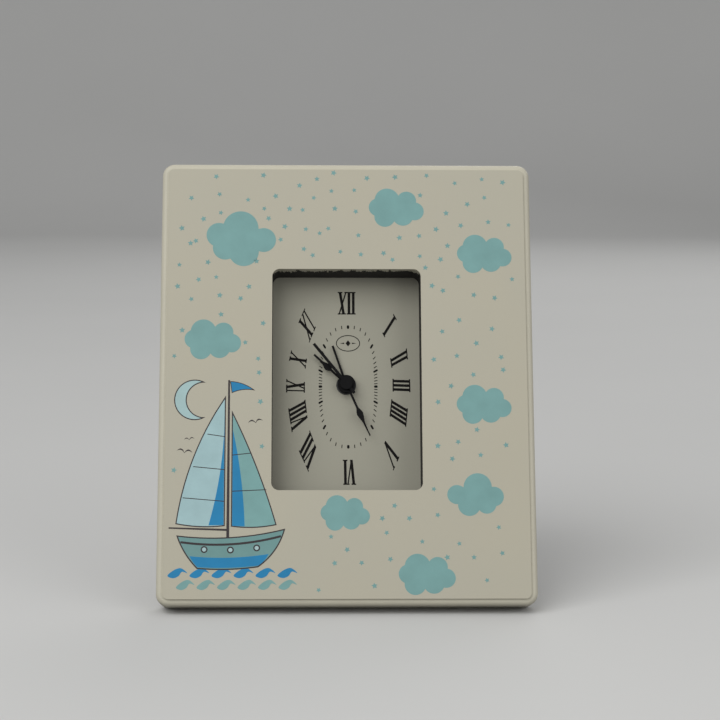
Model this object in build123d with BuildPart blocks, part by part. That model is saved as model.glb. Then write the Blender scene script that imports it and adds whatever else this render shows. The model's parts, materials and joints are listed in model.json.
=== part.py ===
from build123d import *
from math import atan2, cos, hypot, pi, radians, sin
import os

# Lengths are in millimetres and angles in degrees. "Up" runs along the leaning board from its
# bottom edge, "depth" runs backwards from the board's front face, and "inside" runs
# backwards from the inner face of the movement case's front wall.

# Board and window
board_width = 150.0
board_height = 180.0
board_thickness = 15.0
board_lean = 19.0
board_corner_radius = 5.0
edge_step = 0.9
edge_ledge = 0.5
edge_round = 2.2
back_edge_chamfer = 0.6
foot_cut = 0.5
window_width = 60.0
window_height = 90.0
window_corner_radius = 3.0
window_bottom_margin = 45.5
sheet_thickness = 0.2
overrun = 3.0

# Dial card and its backing plate
card_thickness = 0.4
plate_thickness = 2.5
plate_margin = 9.0
plate_corner_radius = 4.0

# Screws: head radius, head height, shank radius and shank length of each kind
wood_screw = (2.6, 1.6, 1.2, 10.0)
case_screw = (1.9, 1.2, 0.9, 12.5)
bridge_screw = (1.5, 0.9, 0.7, 9.0)
screw_hole_gap = 0.1
recess_width = 0.5
recess_depth = 0.5
recess_length_share = 0.62
head_taper_angle = 12.0
screw_edge_distance = 4.5

# Hands: length, clock angle at rest, and widths
hand_thickness = 0.3
hand_pitch = 1.0
first_hand_height = 1.2
hand_stem_width = 0.9
hour_hand_length = 17.9
hour_hand_angle = 313.0
hour_leaf_width = 3.0
hour_tip_width = 0.85
minute_hand_length = 23.5
minute_hand_angle = 156.0
minute_leaf_width = 2.7
leaf_neck_width = 0.85
minute_tip_width = 0.35
leaf_start_share = 0.465
leaf_end_share = 0.735
# Places along the hand and across its leaf, towards the widest place and past it
leaf_shares = ((0.53, 0.8), (0.575, 1.0), (0.635, 0.76))
second_hand_length = 21.0
second_hand_width = 1.15
second_hand_tail = 5.2
second_hand_angle = 321.0
alarm_hand_length = 17.0
alarm_hand_angle = 341.0
hand_ring_radius = 3.6
hand_ring_depth = 0.5
second_cap_radius = 2.5
second_cap_height = 0.7

# Pipes that carry the hands, from the thin arbor outwards
arbor_radius = 0.5
running_clearance = 0.04
minute_pipe_wall = 0.96
hour_pipe_wall = 0.56
alarm_pipe_wall = 0.56
nozzle_wall = 1.2
nozzle_gap = 0.1

# Movement case
case_wall = 1.5
case_rear_wall = 2.0
case_corner_radius = 4.0
case_rise = 29.0
case_joint_share = 0.5
bay_drop = 19.3
bay_wall = 1.2
boss_radius = 2.3
boss_sink = 0.5
counterbore_depth = 1.3
ear_reach = 7.5
ear_height = 9.0
ear_thickness = 2.5
ear_up = 4.0
pivot_depth = 0.9

# Battery, its bay and its cover
battery_radius = 7.25
battery_length = 50.5
battery_nub_radius = 2.75
battery_nub_length = 1.0
battery_edge_round = 0.8
bay_play = 0.75
bay_depth_play = 0.5
contact_space = 4.5
contact_thickness = 0.4
contact_width = 8.0
spring_gap = 0.1
cover_margin = 0.5
cover_gap = 0.08
tongue_reach = 0.8
tongue_thickness = 0.7
grip_width = 0.8
grip_depth = 0.4
grip_length = 9.0
grip_count = 5

# Wheels: numbers of teeth, centre distances and the teeth's shape as shares of the module
rotor_teeth = 10
intermediate_teeth = 50
intermediate_pinion_teeth = 10
second_teeth = 60
second_pinion_teeth = 10
third_teeth = 80
third_pinion_teeth = 10
centre_teeth = 75
cannon_teeth = 12
work_teeth = 36
work_pinion_teeth = 10
hour_teeth = 40
alarm_teeth = 48
alarm_knob_teeth = 36
time_knob_teeth = 12
train_distance = 10.2
second_distance = 7.0
rotor_distance = 4.8
tooth_top_share = 0.7
tooth_foot_share = 1.0
tooth_foot_width_share = 0.5
tooth_top_width_share = 0.2
wheel_thickness = 0.8
wheel_play = 0.4
wheel_gap = 0.35
pinion_extra = 0.1
hub_radius = 1.3
stud_radius = 0.6
third_angle = 120.0
second_angle = 30.0
work_angle = -60.0
alarm_knob_angle = 210.0

# Plates and posts that hold the wheels
train_plate_thickness = 1.0
bridge_thickness = 1.2
post_radius = 1.8
post_distance_share = (1.42, 1.482, 1.324)
post_angles = (182.0, 69.9, 272.1)
plate_left = 18.0
plate_right = 14.5
plate_top = 18.0
plate_bottom = 16.5
bridge_inset = 1.0
shaft_hole_gap = 0.4

# Motor
magnet_radius = 2.2
magnet_height = 1.6
magnet_gap = 0.5
stator_thickness = 0.8
stator_bar_width = 6.0
stator_rise = 11.1
stator_drop = 12.9
stator_arm_width = 3.0
core_width = 2.4
coil_across_share = 0.504
coil_length = 17.0
coil_radius = 3.8
coil_flange = 8.4
coil_flange_thickness = 0.8
coil_tube_wall = 0.5

# Circuit board, crystal, buzzer and alarm switch
circuit_gap = 1.4
circuit_height = 7.6
circuit_left = 2.0
circuit_bottom = 19.3
circuit_level = 9.0
circuit_thickness = 0.8
circuit_post_radius = 1.6
circuit_post_inset = 3.0
chip_radius = 2.4
chip_height = 0.9
crystal_radius = 1.0
crystal_length = 6.0
buzzer_radius = 7.5
buzzer_height = 3.0
buzzer_rim = 0.8
buzzer_side_gap = 2.5
buzzer_up = 16.5
sound_hole_radius = 0.7
sound_hole_circle = 3.6
sound_hole_count = 6
switch_side_gap = 13.5
switch_up = 20.5
switch_travel = 3.0
switch_length = 3.6
switch_width = 2.6
switch_rise = 1.2
switch_flange = 1.6
switch_flange_thickness = 0.8
switch_gap = 0.1

# Setting knobs
knob_shaft_radius = 1.0
knob_pivot_radius = 0.6
knob_radius = 5.6
knob_height = 4.2
knob_ribs = 28
knob_rib_height = 0.35
knob_float = 0.3
knob_dish_depth = 0.8
knob_dish_share = 0.7

# Wire stand and its brackets
hinge_up = 127.0
hinge_rise = 4.0
stand_angle = 20.0
stand_across_share = 0.14
wire_radius = 1.5
foot_bend_radius = 9.0
pivot_bend_radius = 2.2
sleeve_radius = 2.6
sleeve_length = 60.0
sleeve_flat = 0.15
bracket_gap = 2.2
bracket_width = 10.5
bracket_height = 26.0
bracket_thickness = 1.5
bracket_corner_radius = 2.0
bracket_screw_up = 9.0
barrel_radius = 3.0
barrel_width = 5.0
stop_start = 2.6
stop_length = 4.6
stop_thickness = 1.6
stop_gap = 0.1
clip_radius = 2.3
clip_thickness = 0.8
clip_gap = 0.1
wire_end_length = 0.6

# Places that follow from the sizes above
tilt = radians(board_lean)
stand_tilt = radians(stand_angle)
field_inset = edge_round + edge_ledge
axis_up = window_bottom_margin + window_height / 2
hinge_depth = board_thickness + hinge_rise
case_depth = board_thickness + card_thickness + plate_thickness
inside_depth = case_depth + case_wall
case_inside = 2 * battery_radius + bay_depth_play
plate_width = window_width + 2 * plate_margin
plate_height = window_height + 2 * plate_margin
stand_half_width = (
    plate_width / 2 + stand_across_share * (board_width - plate_width) / 2
)
bracket_inner = stand_half_width + bracket_gap


def height_of(up, depth):
    """Height above the table of a point of the leaning board."""
    return up * cos(tilt) + (board_thickness - depth) * sin(tilt) - foot_cut


def reach_of(up, depth):
    """Distance behind the board's lowest front edge, along the table."""
    return up * sin(tilt) + depth * cos(tilt)


foot_height = sleeve_radius - sleeve_flat
stand_length = (height_of(hinge_up, hinge_depth) - foot_height) / cos(stand_tilt)
foot_reach = reach_of(hinge_up, hinge_depth) + stand_length * sin(stand_tilt)
front_reach = reach_of(field_inset, 0)
middle_reach = (front_reach + foot_reach + sleeve_radius) / 2

# The dial's plane faces the viewer, with its origin on the hands' axis at the board's front face
face = Plane(
    origin=(0, reach_of(axis_up, 0) - middle_reach, height_of(axis_up, 0)),
    x_dir=(1, 0, 0),
    z_dir=(0, -cos(tilt), sin(tilt)),
)
hinge_point = face.from_local_coords((0, hinge_up - axis_up, -hinge_depth))
stand_plane = Plane(hinge_point, x_dir=(1, 0, 0), z_dir=(0, -cos(stand_tilt), -sin(stand_tilt)))


def behind(depth):
    """The plane parallel to the dial, a depth behind the board's front face."""
    return face.offset(-depth)


def inside(level):
    """The plane parallel to the dial, a level behind the case's front wall."""
    return face.offset(-inside_depth - level)


def side_plane(across, up=0, depth=0):
    """A plane square to the stand's hinge line: its X runs up the board and its Y to the front."""
    point = face.from_local_coords((across, up, -depth))
    return Plane(point, x_dir=face.y_dir, z_dir=face.x_dir)


def polar(distance, direction, start=(0, 0)):
    """A place on the dial's plane, a distance away from a start."""
    angle = radians(direction)
    return (start[0] + distance * cos(angle), start[1] + distance * sin(angle))


def add_disc(plane, radius, height, places=((0, 0),), mode=Mode.ADD):
    """Round posts, tubes' outsides or holes, standing on a plane."""
    with BuildSketch(plane) as outline:
        with Locations(*places):
            Circle(radius)
    extrude(outline.sketch, amount=height, mode=mode)


def add_block(plane, width, height, depth, place=(0, 0), corner=0, mode=Mode.ADD):
    """A plain or round-cornered block on a plane, centred on a place."""
    with BuildSketch(plane) as outline:
        with Locations(place):
            if corner > 0:
                RectangleRounded(width, height, corner)
            else:
                Rectangle(width, height)
    extrude(outline.sketch, amount=depth, mode=mode)


def add_screws(plane, kind, places):
    """Pan-head screws with crossed recesses; the plane is under their heads, facing forwards."""
    head_radius, head_height, shank_radius, shank_length = kind
    add_disc(plane, shank_radius, shank_length, places)
    with BuildSketch(plane) as heads:
        with Locations(*places):
            Circle(head_radius)
    extrude(heads.sketch, amount=-head_height, taper=head_taper_angle)
    slot = 2 * head_radius * recess_length_share
    with BuildSketch(plane.offset(-head_height)) as recess:
        with Locations(*places):
            Rectangle(slot, recess_width)
            Rectangle(recess_width, slot)
    extrude(recess.sketch, amount=recess_depth, mode=Mode.SUBTRACT)


def toothed_points(teeth, module, phase):
    """The rim of a wheel: straight-sided teeth, thin enough to run with play."""
    radius = teeth * module / 2
    foot = radius - tooth_foot_share * module
    top = radius + tooth_top_share * module
    tooth = 2 * pi / teeth
    profile = (
        (foot, -tooth_foot_width_share / 2),
        (top, -tooth_top_width_share / 2),
        (top, tooth_top_width_share / 2),
        (foot, tooth_foot_width_share / 2),
    )
    points = []
    for number in range(teeth):
        for reach, share in profile:
            angle = phase + (number + share) * tooth
            points.append((reach * cos(angle), reach * sin(angle)))
    return points


def add_wheel(plane, points, height, place=(0, 0)):
    """A toothed disc, its rim given by its points, on a plane."""
    with BuildSketch(plane) as outline:
        with BuildLine():
            Polyline(*[(x + place[0], y + place[1]) for x, y in points], close=True)
        make_face()
    extrude(outline.sketch, amount=height)


def tip_radius(teeth, module):
    """The radius over the teeth's tops."""
    return teeth * module / 2 + tooth_top_share * module


def meshed(phase, teeth, place, other_teeth, other_place):
    """The phase of the other wheel that puts a gap where this wheel has a tooth."""
    line = atan2(other_place[1] - place[1], other_place[0] - place[0])
    turn = (phase - line) * teeth / (2 * pi)
    return line + pi + (0.5 - turn) * 2 * pi / other_teeth


def module_for(distance, teeth, other_teeth):
    """The module that makes two wheels meet at a centre distance."""
    return 2 * distance / (teeth + other_teeth)


# Wheel train: modules, places and phases
rotor_module = module_for(rotor_distance, rotor_teeth, intermediate_teeth)
second_module = module_for(second_distance, intermediate_pinion_teeth, second_teeth)
third_module = module_for(train_distance, second_pinion_teeth, third_teeth)
centre_module = module_for(train_distance, third_pinion_teeth, centre_teeth)
alarm_distance = tip_radius(centre_teeth, centre_module) + knob_shaft_radius + wheel_gap
alarm_module = module_for(alarm_distance, alarm_teeth, alarm_knob_teeth)
work_distance = tip_radius(alarm_teeth, alarm_module) + stud_radius + wheel_gap
cannon_module = module_for(work_distance, cannon_teeth, work_teeth)
hour_module = module_for(work_distance, work_pinion_teeth, hour_teeth)

centre_place = (0, 0)
third_place = polar(train_distance, third_angle)
intermediate_place = polar(second_distance, second_angle)
rotor_place = polar(rotor_distance, second_angle, intermediate_place)
work_place = polar(work_distance, work_angle)
time_knob_place = polar(work_distance, work_angle, work_place)
alarm_knob_place = polar(alarm_distance, alarm_knob_angle)
post_places = [
    polar(share * train_distance, direction)
    for share, direction in zip(post_distance_share, post_angles)
]

rotor_phase = 0
intermediate_phase = meshed(
    rotor_phase, rotor_teeth, rotor_place, intermediate_teeth, intermediate_place
)
second_phase = meshed(
    0, intermediate_pinion_teeth, intermediate_place, second_teeth, centre_place
)
third_phase = meshed(0, second_pinion_teeth, centre_place, third_teeth, third_place)
centre_phase = meshed(0, third_pinion_teeth, third_place, centre_teeth, centre_place)
work_phase = meshed(0, cannon_teeth, centre_place, work_teeth, work_place)
hour_phase = meshed(0, work_pinion_teeth, work_place, hour_teeth, centre_place)
time_knob_phase = meshed(work_phase, work_teeth, work_place, time_knob_teeth, time_knob_place)
alarm_knob_phase = meshed(0, alarm_teeth, centre_place, alarm_knob_teeth, alarm_knob_place)

# Levels of the wheels behind the case's front wall, each wheel a play behind the last
wheel_pitch = wheel_thickness + wheel_play
alarm_level = wheel_play
hour_level = alarm_level + wheel_pitch
cannon_level = hour_level + wheel_pitch
centre_level = cannon_level + wheel_pitch
train_plate_level = centre_level + wheel_pitch
train_back_level = train_plate_level + train_plate_thickness
third_level = train_back_level + wheel_play
second_level = third_level + wheel_pitch
intermediate_level = second_level + wheel_pitch
bridge_level = intermediate_level + wheel_pitch
bridge_back_level = bridge_level + bridge_thickness

# Radii of the nested pipes
minute_bore = arbor_radius + running_clearance
minute_pipe_radius = minute_bore + minute_pipe_wall
hour_bore = minute_pipe_radius + running_clearance
hour_pipe_radius = hour_bore + hour_pipe_wall
alarm_bore = hour_pipe_radius + running_clearance
alarm_pipe_radius = alarm_bore + alarm_pipe_wall
nozzle_bore = alarm_pipe_radius + running_clearance
nozzle_radius = nozzle_bore + nozzle_wall

# Depths of the hands' front faces: each pipe ends flush with the hand that it carries
alarm_hand_depth = board_thickness - first_hand_height - hand_thickness
hour_hand_depth = alarm_hand_depth - hand_pitch
minute_hand_depth = hour_hand_depth - hand_pitch
second_hand_depth = minute_hand_depth - hand_pitch

# Places inside the case
case_width = battery_length + contact_space + 2 * case_wall
bay_height = 2 * (battery_radius + bay_play)
bay_top = -(bay_drop + bay_wall)
bay_middle = bay_top - bay_height / 2
case_bottom = bay_top - bay_height - case_wall
case_height = case_rise - case_bottom
case_middle = (case_rise + case_bottom) / 2
case_joint = case_joint_share * case_inside
inner_width = case_width - 2 * case_wall
inner_right = inner_width / 2
boss_inset = boss_radius - boss_sink
boss_across = inner_right - boss_inset
boss_places = [
    (side * boss_across, up)
    for side in (-1, 1)
    for up in (case_rise - case_wall - boss_inset, -bay_drop + boss_inset - bay_wall / 2)
]
ear_across = case_width / 2 + ear_reach - ear_height / 2
ear_places = [(-ear_across, ear_up), (ear_across, ear_up)]
circuit_width = circuit_left + boss_across - boss_radius - circuit_gap
circuit_place = (circuit_width / 2 - circuit_left, circuit_bottom + circuit_height / 2)
circuit_posts = [
    (circuit_place[0] + side * (circuit_width / 2 - circuit_post_inset), circuit_place[1])
    for side in (-1, 1)
]
buzzer_place = (buzzer_side_gap + buzzer_radius - inner_right, buzzer_up)
switch_place = (inner_right - switch_side_gap, switch_up)

os.makedirs("parts", exist_ok=True)
made = []


def keep(part, name):
    """Label a finished piece and write it to its own file."""
    part.part.label = name
    export_step(part.part, f"parts/{name}.step")
    made.append(name)


# Frame board: a slab with a rounded front edge, a raised field and the window
board_middle = board_height / 2 - axis_up
with BuildPart() as frame_board:
    add_block(
        behind(board_thickness),
        board_width,
        board_height,
        board_thickness - edge_step,
        (0, board_middle),
        board_corner_radius,
    )
    slab_edges = frame_board.edges().filter_by(
        lambda edge: abs(abs((edge % 0.5).dot(face.z_dir))) < 0.5
    )
    front_edges = slab_edges.filter_by(
        lambda edge: face.to_local_coords(edge.center()).Z > -board_thickness / 2
    )
    back_edges = slab_edges.filter_by(
        lambda edge: face.to_local_coords(edge.center()).Z < -board_thickness / 2
    )
    fillet(front_edges, edge_round)
    chamfer(back_edges, back_edge_chamfer)
    add_block(
        behind(edge_step),
        board_width - 2 * field_inset,
        board_height - 2 * field_inset,
        edge_step - sheet_thickness,
        (0, board_middle),
        board_corner_radius - field_inset,
    )
    add_block(
        behind(board_thickness + overrun),
        window_width,
        window_height,
        board_thickness + 2 * overrun,
        (0, 0),
        window_corner_radius,
        Mode.SUBTRACT,
    )
    split(bisect_by=Plane.XY, keep=Keep.TOP)

plate_screw_places = [
    (x * (plate_width / 2 - screw_edge_distance), y * (plate_height / 2 - screw_edge_distance))
    for x in (-1, 1)
    for y in (-1, 1)
]
bracket_across = bracket_inner + bracket_width / 2
hinge_rise_up = hinge_up - axis_up
bracket_screw_places = [
    (x * bracket_across, hinge_rise_up + y * bracket_screw_up) for x in (-1, 1) for y in (-1, 1)
]
with frame_board:
    pilot_depth = wood_screw[3] - plate_thickness - card_thickness
    add_disc(
        behind(board_thickness), wood_screw[2], pilot_depth, plate_screw_places, Mode.SUBTRACT
    )
    ear_pilot_depth = wood_screw[3] - ear_thickness - plate_thickness - card_thickness
    add_disc(behind(board_thickness), wood_screw[2], ear_pilot_depth, ear_places, Mode.SUBTRACT)
    bracket_pilot_depth = wood_screw[3] - bracket_thickness
    add_disc(
        behind(board_thickness),
        wood_screw[2],
        bracket_pilot_depth,
        bracket_screw_places,
        Mode.SUBTRACT,
    )
keep(frame_board, "frame_board")

# Printed sheet on the raised field
with BuildPart() as printed_face_sheet:
    add_block(
        behind(sheet_thickness),
        board_width - 2 * field_inset,
        board_height - 2 * field_inset,
        sheet_thickness,
        (0, board_middle),
        board_corner_radius - field_inset,
    )
    add_block(
        behind(sheet_thickness + overrun),
        window_width,
        window_height,
        2 * overrun,
        (0, 0),
        window_corner_radius,
        Mode.SUBTRACT,
    )
keep(printed_face_sheet, "printed_face_sheet")

# Dial card behind the window, and the plate that carries it and the movement
nozzle_hole = nozzle_radius + nozzle_gap
ear_hole = wood_screw[2] + screw_hole_gap
with BuildPart() as dial_card:
    add_block(
        behind(board_thickness + card_thickness), plate_width, plate_height, card_thickness,
        corner=plate_corner_radius,
    )
    add_disc(
        behind(board_thickness + overrun), nozzle_hole, 2 * overrun, mode=Mode.SUBTRACT
    )
    add_disc(
        behind(board_thickness + overrun),
        ear_hole,
        2 * overrun,
        plate_screw_places + ear_places,
        Mode.SUBTRACT,
    )
keep(dial_card, "dial_card")

with BuildPart() as dial_backing_plate:
    add_block(
        behind(case_depth), plate_width, plate_height, plate_thickness, corner=plate_corner_radius
    )
    add_disc(behind(case_depth + overrun), nozzle_hole, 3 * overrun, mode=Mode.SUBTRACT)
    add_disc(
        behind(case_depth + overrun),
        ear_hole,
        3 * overrun,
        plate_screw_places + ear_places,
        Mode.SUBTRACT,
    )
keep(dial_backing_plate, "dial_backing_plate")

with BuildPart() as backing_plate_screws:
    add_screws(behind(case_depth), wood_screw, plate_screw_places)
keep(backing_plate_screws, "backing_plate_screws")

with BuildPart() as movement_mount_screws:
    add_screws(behind(case_depth + ear_thickness), wood_screw, ear_places)
keep(movement_mount_screws, "movement_mount_screws")

# Front half of the movement case: tray, ears, nozzle, posts and bearings
with BuildPart() as movement_front_case:
    add_block(
        inside(case_joint), case_width, case_height, case_joint + case_wall, (0, case_middle),
        case_corner_radius,
    )
    add_block(
        inside(case_joint), inner_width, case_height - 2 * case_wall, case_joint,
        (0, case_middle), case_corner_radius - case_wall, Mode.SUBTRACT,
    )
    add_block(
        inside(case_joint), inner_width, bay_wall, case_joint, (0, -bay_drop - bay_wall / 2)
    )
    add_block(
        behind(case_depth + ear_thickness), case_width + 2 * ear_reach, ear_height, ear_thickness,
        (0, ear_up), ear_height / 2 - case_wall,
    )
    add_block(
        inside(case_joint), inner_width, ear_height + 2 * case_wall, case_joint, (0, ear_up),
        mode=Mode.SUBTRACT,
    )
    add_disc(behind(case_depth), nozzle_radius, plate_thickness + card_thickness)
    add_disc(inside(case_joint), boss_radius, case_joint, boss_places)
    add_disc(inside(train_plate_level), post_radius, train_plate_level, post_places)
    add_disc(inside(circuit_level), circuit_post_radius, circuit_level, circuit_posts)
    add_disc(inside(cannon_level + wheel_thickness), stud_radius,
             cannon_level + wheel_thickness, [work_place])
    add_disc(inside(overrun), nozzle_bore, overrun + case_wall + plate_thickness
             + card_thickness + overrun, mode=Mode.SUBTRACT)
    add_disc(inside(0), arbor_radius + running_clearance, pivot_depth, [third_place],
             Mode.SUBTRACT)
    add_disc(inside(0), knob_pivot_radius + running_clearance, pivot_depth,
             [time_knob_place, alarm_knob_place], Mode.SUBTRACT)
    add_disc(behind(case_depth + ear_thickness + overrun), ear_hole,
             ear_thickness + 2 * overrun, ear_places, Mode.SUBTRACT)
    case_pilot = case_screw[3] - (case_inside - case_joint) - case_rear_wall + counterbore_depth
    add_disc(inside(case_joint), case_screw[2], case_pilot, boss_places, Mode.SUBTRACT)
    bridge_pilot = bridge_screw[3] - (bridge_back_level - train_plate_level)
    add_disc(inside(train_plate_level), bridge_screw[2], bridge_pilot, post_places,
             Mode.SUBTRACT)
keep(movement_front_case, "movement_front_case")

# Rear half of the case: tray, battery bay with its sliding cover's grooves, holes for the knobs
cover_left = -inner_right + cover_margin
cover_length = case_width / 2 - cover_left
cover_middle = (cover_left + case_width / 2) / 2
cover_width = bay_height - 2 * cover_margin
tongue_width = cover_width + 2 * tongue_reach
tongue_level = case_inside + (case_rear_wall - tongue_thickness) / 2
with BuildPart() as movement_rear_case:
    add_block(
        inside(case_inside + case_rear_wall), case_width, case_height,
        case_inside - case_joint + case_rear_wall, (0, case_middle), case_corner_radius,
    )
    add_block(
        inside(case_inside), inner_width, case_height - 2 * case_wall, case_inside - case_joint,
        (0, case_middle), case_corner_radius - case_wall, Mode.SUBTRACT,
    )
    add_block(
        inside(case_inside), inner_width, bay_wall, case_inside - case_joint,
        (0, -bay_drop - bay_wall / 2),
    )
    add_disc(inside(case_inside), boss_radius, case_inside - case_joint, boss_places)
    add_disc(inside(case_inside + case_rear_wall), case_screw[2] + screw_hole_gap,
             case_inside - case_joint + case_rear_wall, boss_places, Mode.SUBTRACT)
    add_disc(inside(case_inside + case_rear_wall), case_screw[0] + screw_hole_gap,
             counterbore_depth, boss_places, Mode.SUBTRACT)
    add_disc(inside(case_inside + case_rear_wall), knob_shaft_radius + running_clearance,
             case_rear_wall, [time_knob_place, alarm_knob_place], Mode.SUBTRACT)
    bay_cut = cover_length + cover_gap + overrun
    bay_cut_middle = cover_left - cover_gap + bay_cut / 2
    add_block(
        inside(case_inside + case_rear_wall), bay_cut, cover_width + 2 * cover_gap,
        case_rear_wall, (bay_cut_middle, bay_middle), mode=Mode.SUBTRACT,
    )
    add_block(
        inside(tongue_level + tongue_thickness + cover_gap), bay_cut,
        tongue_width + 2 * cover_gap, tongue_thickness + 2 * cover_gap,
        (bay_cut_middle, bay_middle), mode=Mode.SUBTRACT,
    )
    with BuildSketch(inside(case_inside + case_rear_wall)) as sound_holes:
        with Locations(buzzer_place):
            Circle(sound_hole_radius)
            with PolarLocations(sound_hole_circle, sound_hole_count):
                Circle(sound_hole_radius)
    extrude(sound_holes.sketch, amount=case_rear_wall, mode=Mode.SUBTRACT)
    add_block(
        inside(case_inside + case_rear_wall), switch_length + switch_travel + 2 * switch_gap,
        switch_width + 2 * switch_gap, case_rear_wall,
        (switch_place[0] + switch_travel / 2, switch_place[1]), mode=Mode.SUBTRACT,
    )
keep(movement_rear_case, "movement_rear_case")

with BuildPart() as case_screws:
    add_screws(inside(case_inside + case_rear_wall - counterbore_depth), case_screw, boss_places)
keep(case_screws, "case_screws")

with BuildPart() as battery_cover:
    add_block(
        inside(case_inside + case_rear_wall), cover_length, cover_width, case_rear_wall,
        (cover_middle, bay_middle),
    )
    add_block(
        inside(tongue_level + tongue_thickness), cover_length, tongue_width, tongue_thickness,
        (cover_middle, bay_middle),
    )
    with BuildSketch(inside(case_inside + case_rear_wall)) as grip:
        with Locations((case_width / 2 - grip_count * 2 * grip_width, bay_middle)):
            with GridLocations(2 * grip_width, grip_width, grip_count, 1):
                SlotOverall(grip_length, grip_width, rotation=90)
    extrude(grip.sketch, amount=grip_depth, mode=Mode.SUBTRACT)
keep(battery_cover, "battery_cover")

# Plates that hold the wheels' arbors, with the stator lying on the train plate
plate_place = ((plate_right - plate_left) / 2, (plate_top - plate_bottom) / 2)
train_width = plate_left + plate_right
train_height = plate_top + plate_bottom
bearing_places = [centre_place, intermediate_place, rotor_place]
with BuildPart() as train_plate:
    add_block(
        inside(train_back_level), train_width, train_height, train_plate_thickness, plate_place,
        post_radius,
    )
    add_disc(inside(train_back_level), arbor_radius + running_clearance, train_plate_thickness,
             bearing_places, Mode.SUBTRACT)
    add_disc(inside(train_back_level),
             tip_radius(third_pinion_teeth, centre_module) + shaft_hole_gap,
             train_plate_thickness, [third_place], Mode.SUBTRACT)
    add_disc(inside(train_back_level), knob_shaft_radius + shaft_hole_gap,
             train_plate_thickness, [time_knob_place, alarm_knob_place], Mode.SUBTRACT)
    add_disc(inside(train_back_level), bridge_screw[2] + screw_hole_gap, train_plate_thickness,
             post_places, Mode.SUBTRACT)
keep(train_plate, "train_plate")

with BuildPart() as train_bridge:
    add_block(
        inside(bridge_back_level), train_width - 2 * bridge_inset,
        train_height - 2 * bridge_inset, bridge_thickness, plate_place, post_radius,
    )
    add_disc(inside(bridge_level), post_radius, bridge_level - train_back_level, post_places)
    add_disc(inside(bridge_back_level), arbor_radius + running_clearance, bridge_thickness,
             bearing_places + [third_place], Mode.SUBTRACT)
    add_disc(inside(bridge_back_level), knob_shaft_radius + shaft_hole_gap, bridge_thickness,
             [time_knob_place, alarm_knob_place], Mode.SUBTRACT)
    add_disc(inside(bridge_back_level), bridge_screw[2] + screw_hole_gap,
             bridge_back_level - train_back_level, post_places, Mode.SUBTRACT)
keep(train_bridge, "train_bridge")

with BuildPart() as bridge_screws:
    add_screws(inside(bridge_back_level), bridge_screw, post_places)
keep(bridge_screws, "bridge_screws")

# Stepping motor: stator, core, bobbin, winding and rotor
stator_back = train_back_level + stator_thickness
stator_middle = rotor_place[1] + (stator_rise - stator_drop) / 2
stator_height = stator_rise + stator_drop
magnet_right = rotor_place[0] + magnet_radius
core_across = magnet_right + coil_across_share * (inner_right - magnet_right)
arm_end = core_across + core_width / 2
arm_start = rotor_place[0] - stator_bar_width / 2
with BuildPart() as stator_plate:
    add_block(inside(stator_back), stator_bar_width, stator_height, stator_thickness,
              (rotor_place[0], stator_middle))
    for side in (-1, 1):
        arm_up = stator_middle + side * (stator_height - stator_arm_width) / 2
        add_block(inside(stator_back), arm_end - arm_start, stator_arm_width,
                  stator_thickness, ((arm_start + arm_end) / 2, arm_up))
    add_disc(inside(stator_back), magnet_radius + magnet_gap, stator_thickness, [rotor_place],
             Mode.SUBTRACT)
keep(stator_plate, "stator_plate")

core_place = (core_across, stator_middle)
with BuildPart() as coil_core:
    add_block(inside(stator_back + stator_thickness), core_width, stator_height,
              stator_thickness, core_place)
keep(coil_core, "coil_core")

core_level = stator_back + stator_thickness / 2
coil_plane = Plane(
    face.from_local_coords((core_across, stator_middle - coil_length / 2,
                            -inside_depth - core_level)),
    x_dir=face.x_dir,
    z_dir=face.y_dir,
)
tube_radius = hypot(core_width / 2, stator_thickness / 2) + coil_tube_wall
with BuildPart() as coil_bobbin:
    add_disc(coil_plane, tube_radius, coil_length)
    add_block(coil_plane, coil_flange, coil_flange, coil_flange_thickness)
    add_block(coil_plane.offset(coil_length - coil_flange_thickness), coil_flange, coil_flange,
              coil_flange_thickness)
    add_block(coil_plane, core_width, stator_thickness, coil_length, mode=Mode.SUBTRACT)
keep(coil_bobbin, "coil_bobbin")

with BuildPart() as coil_winding:
    winding_length = coil_length - 2 * coil_flange_thickness
    add_disc(coil_plane.offset(coil_flange_thickness), coil_radius, winding_length)
    add_disc(coil_plane.offset(coil_flange_thickness), tube_radius, winding_length,
             mode=Mode.SUBTRACT)
keep(coil_winding, "coil_winding")

with BuildPart() as motor_rotor:
    add_disc(inside(train_back_level + magnet_height), magnet_radius,
             magnet_height - pinion_extra, [rotor_place])
    add_disc(inside(bridge_back_level), arbor_radius, bridge_back_level - train_plate_level,
             [rotor_place])
    add_wheel(inside(intermediate_level + wheel_thickness + pinion_extra),
              toothed_points(rotor_teeth, rotor_module, rotor_phase),
              wheel_thickness + 2 * pinion_extra, rotor_place)
keep(motor_rotor, "motor_rotor")

# Wheels of the going train, each with its pinion and arbor in one piece
with BuildPart() as intermediate_wheel:
    add_wheel(inside(intermediate_level + wheel_thickness),
              toothed_points(intermediate_teeth, rotor_module, intermediate_phase),
              wheel_thickness, intermediate_place)
    add_wheel(inside(second_level + wheel_thickness + pinion_extra),
              toothed_points(intermediate_pinion_teeth, second_module, 0),
              wheel_thickness + 2 * pinion_extra, intermediate_place)
    add_disc(inside(bridge_back_level), arbor_radius, bridge_back_level - train_plate_level,
             [intermediate_place])
keep(intermediate_wheel, "intermediate_wheel")

with BuildPart() as second_wheel:
    add_wheel(inside(second_level + wheel_thickness),
              toothed_points(second_teeth, second_module, second_phase), wheel_thickness)
    add_wheel(inside(third_level + wheel_thickness + pinion_extra),
              toothed_points(second_pinion_teeth, third_module, 0),
              wheel_thickness + 2 * pinion_extra)
    add_disc(inside(bridge_back_level), arbor_radius,
             bridge_back_level + inside_depth - second_hand_depth)
keep(second_wheel, "second_wheel")

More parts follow.
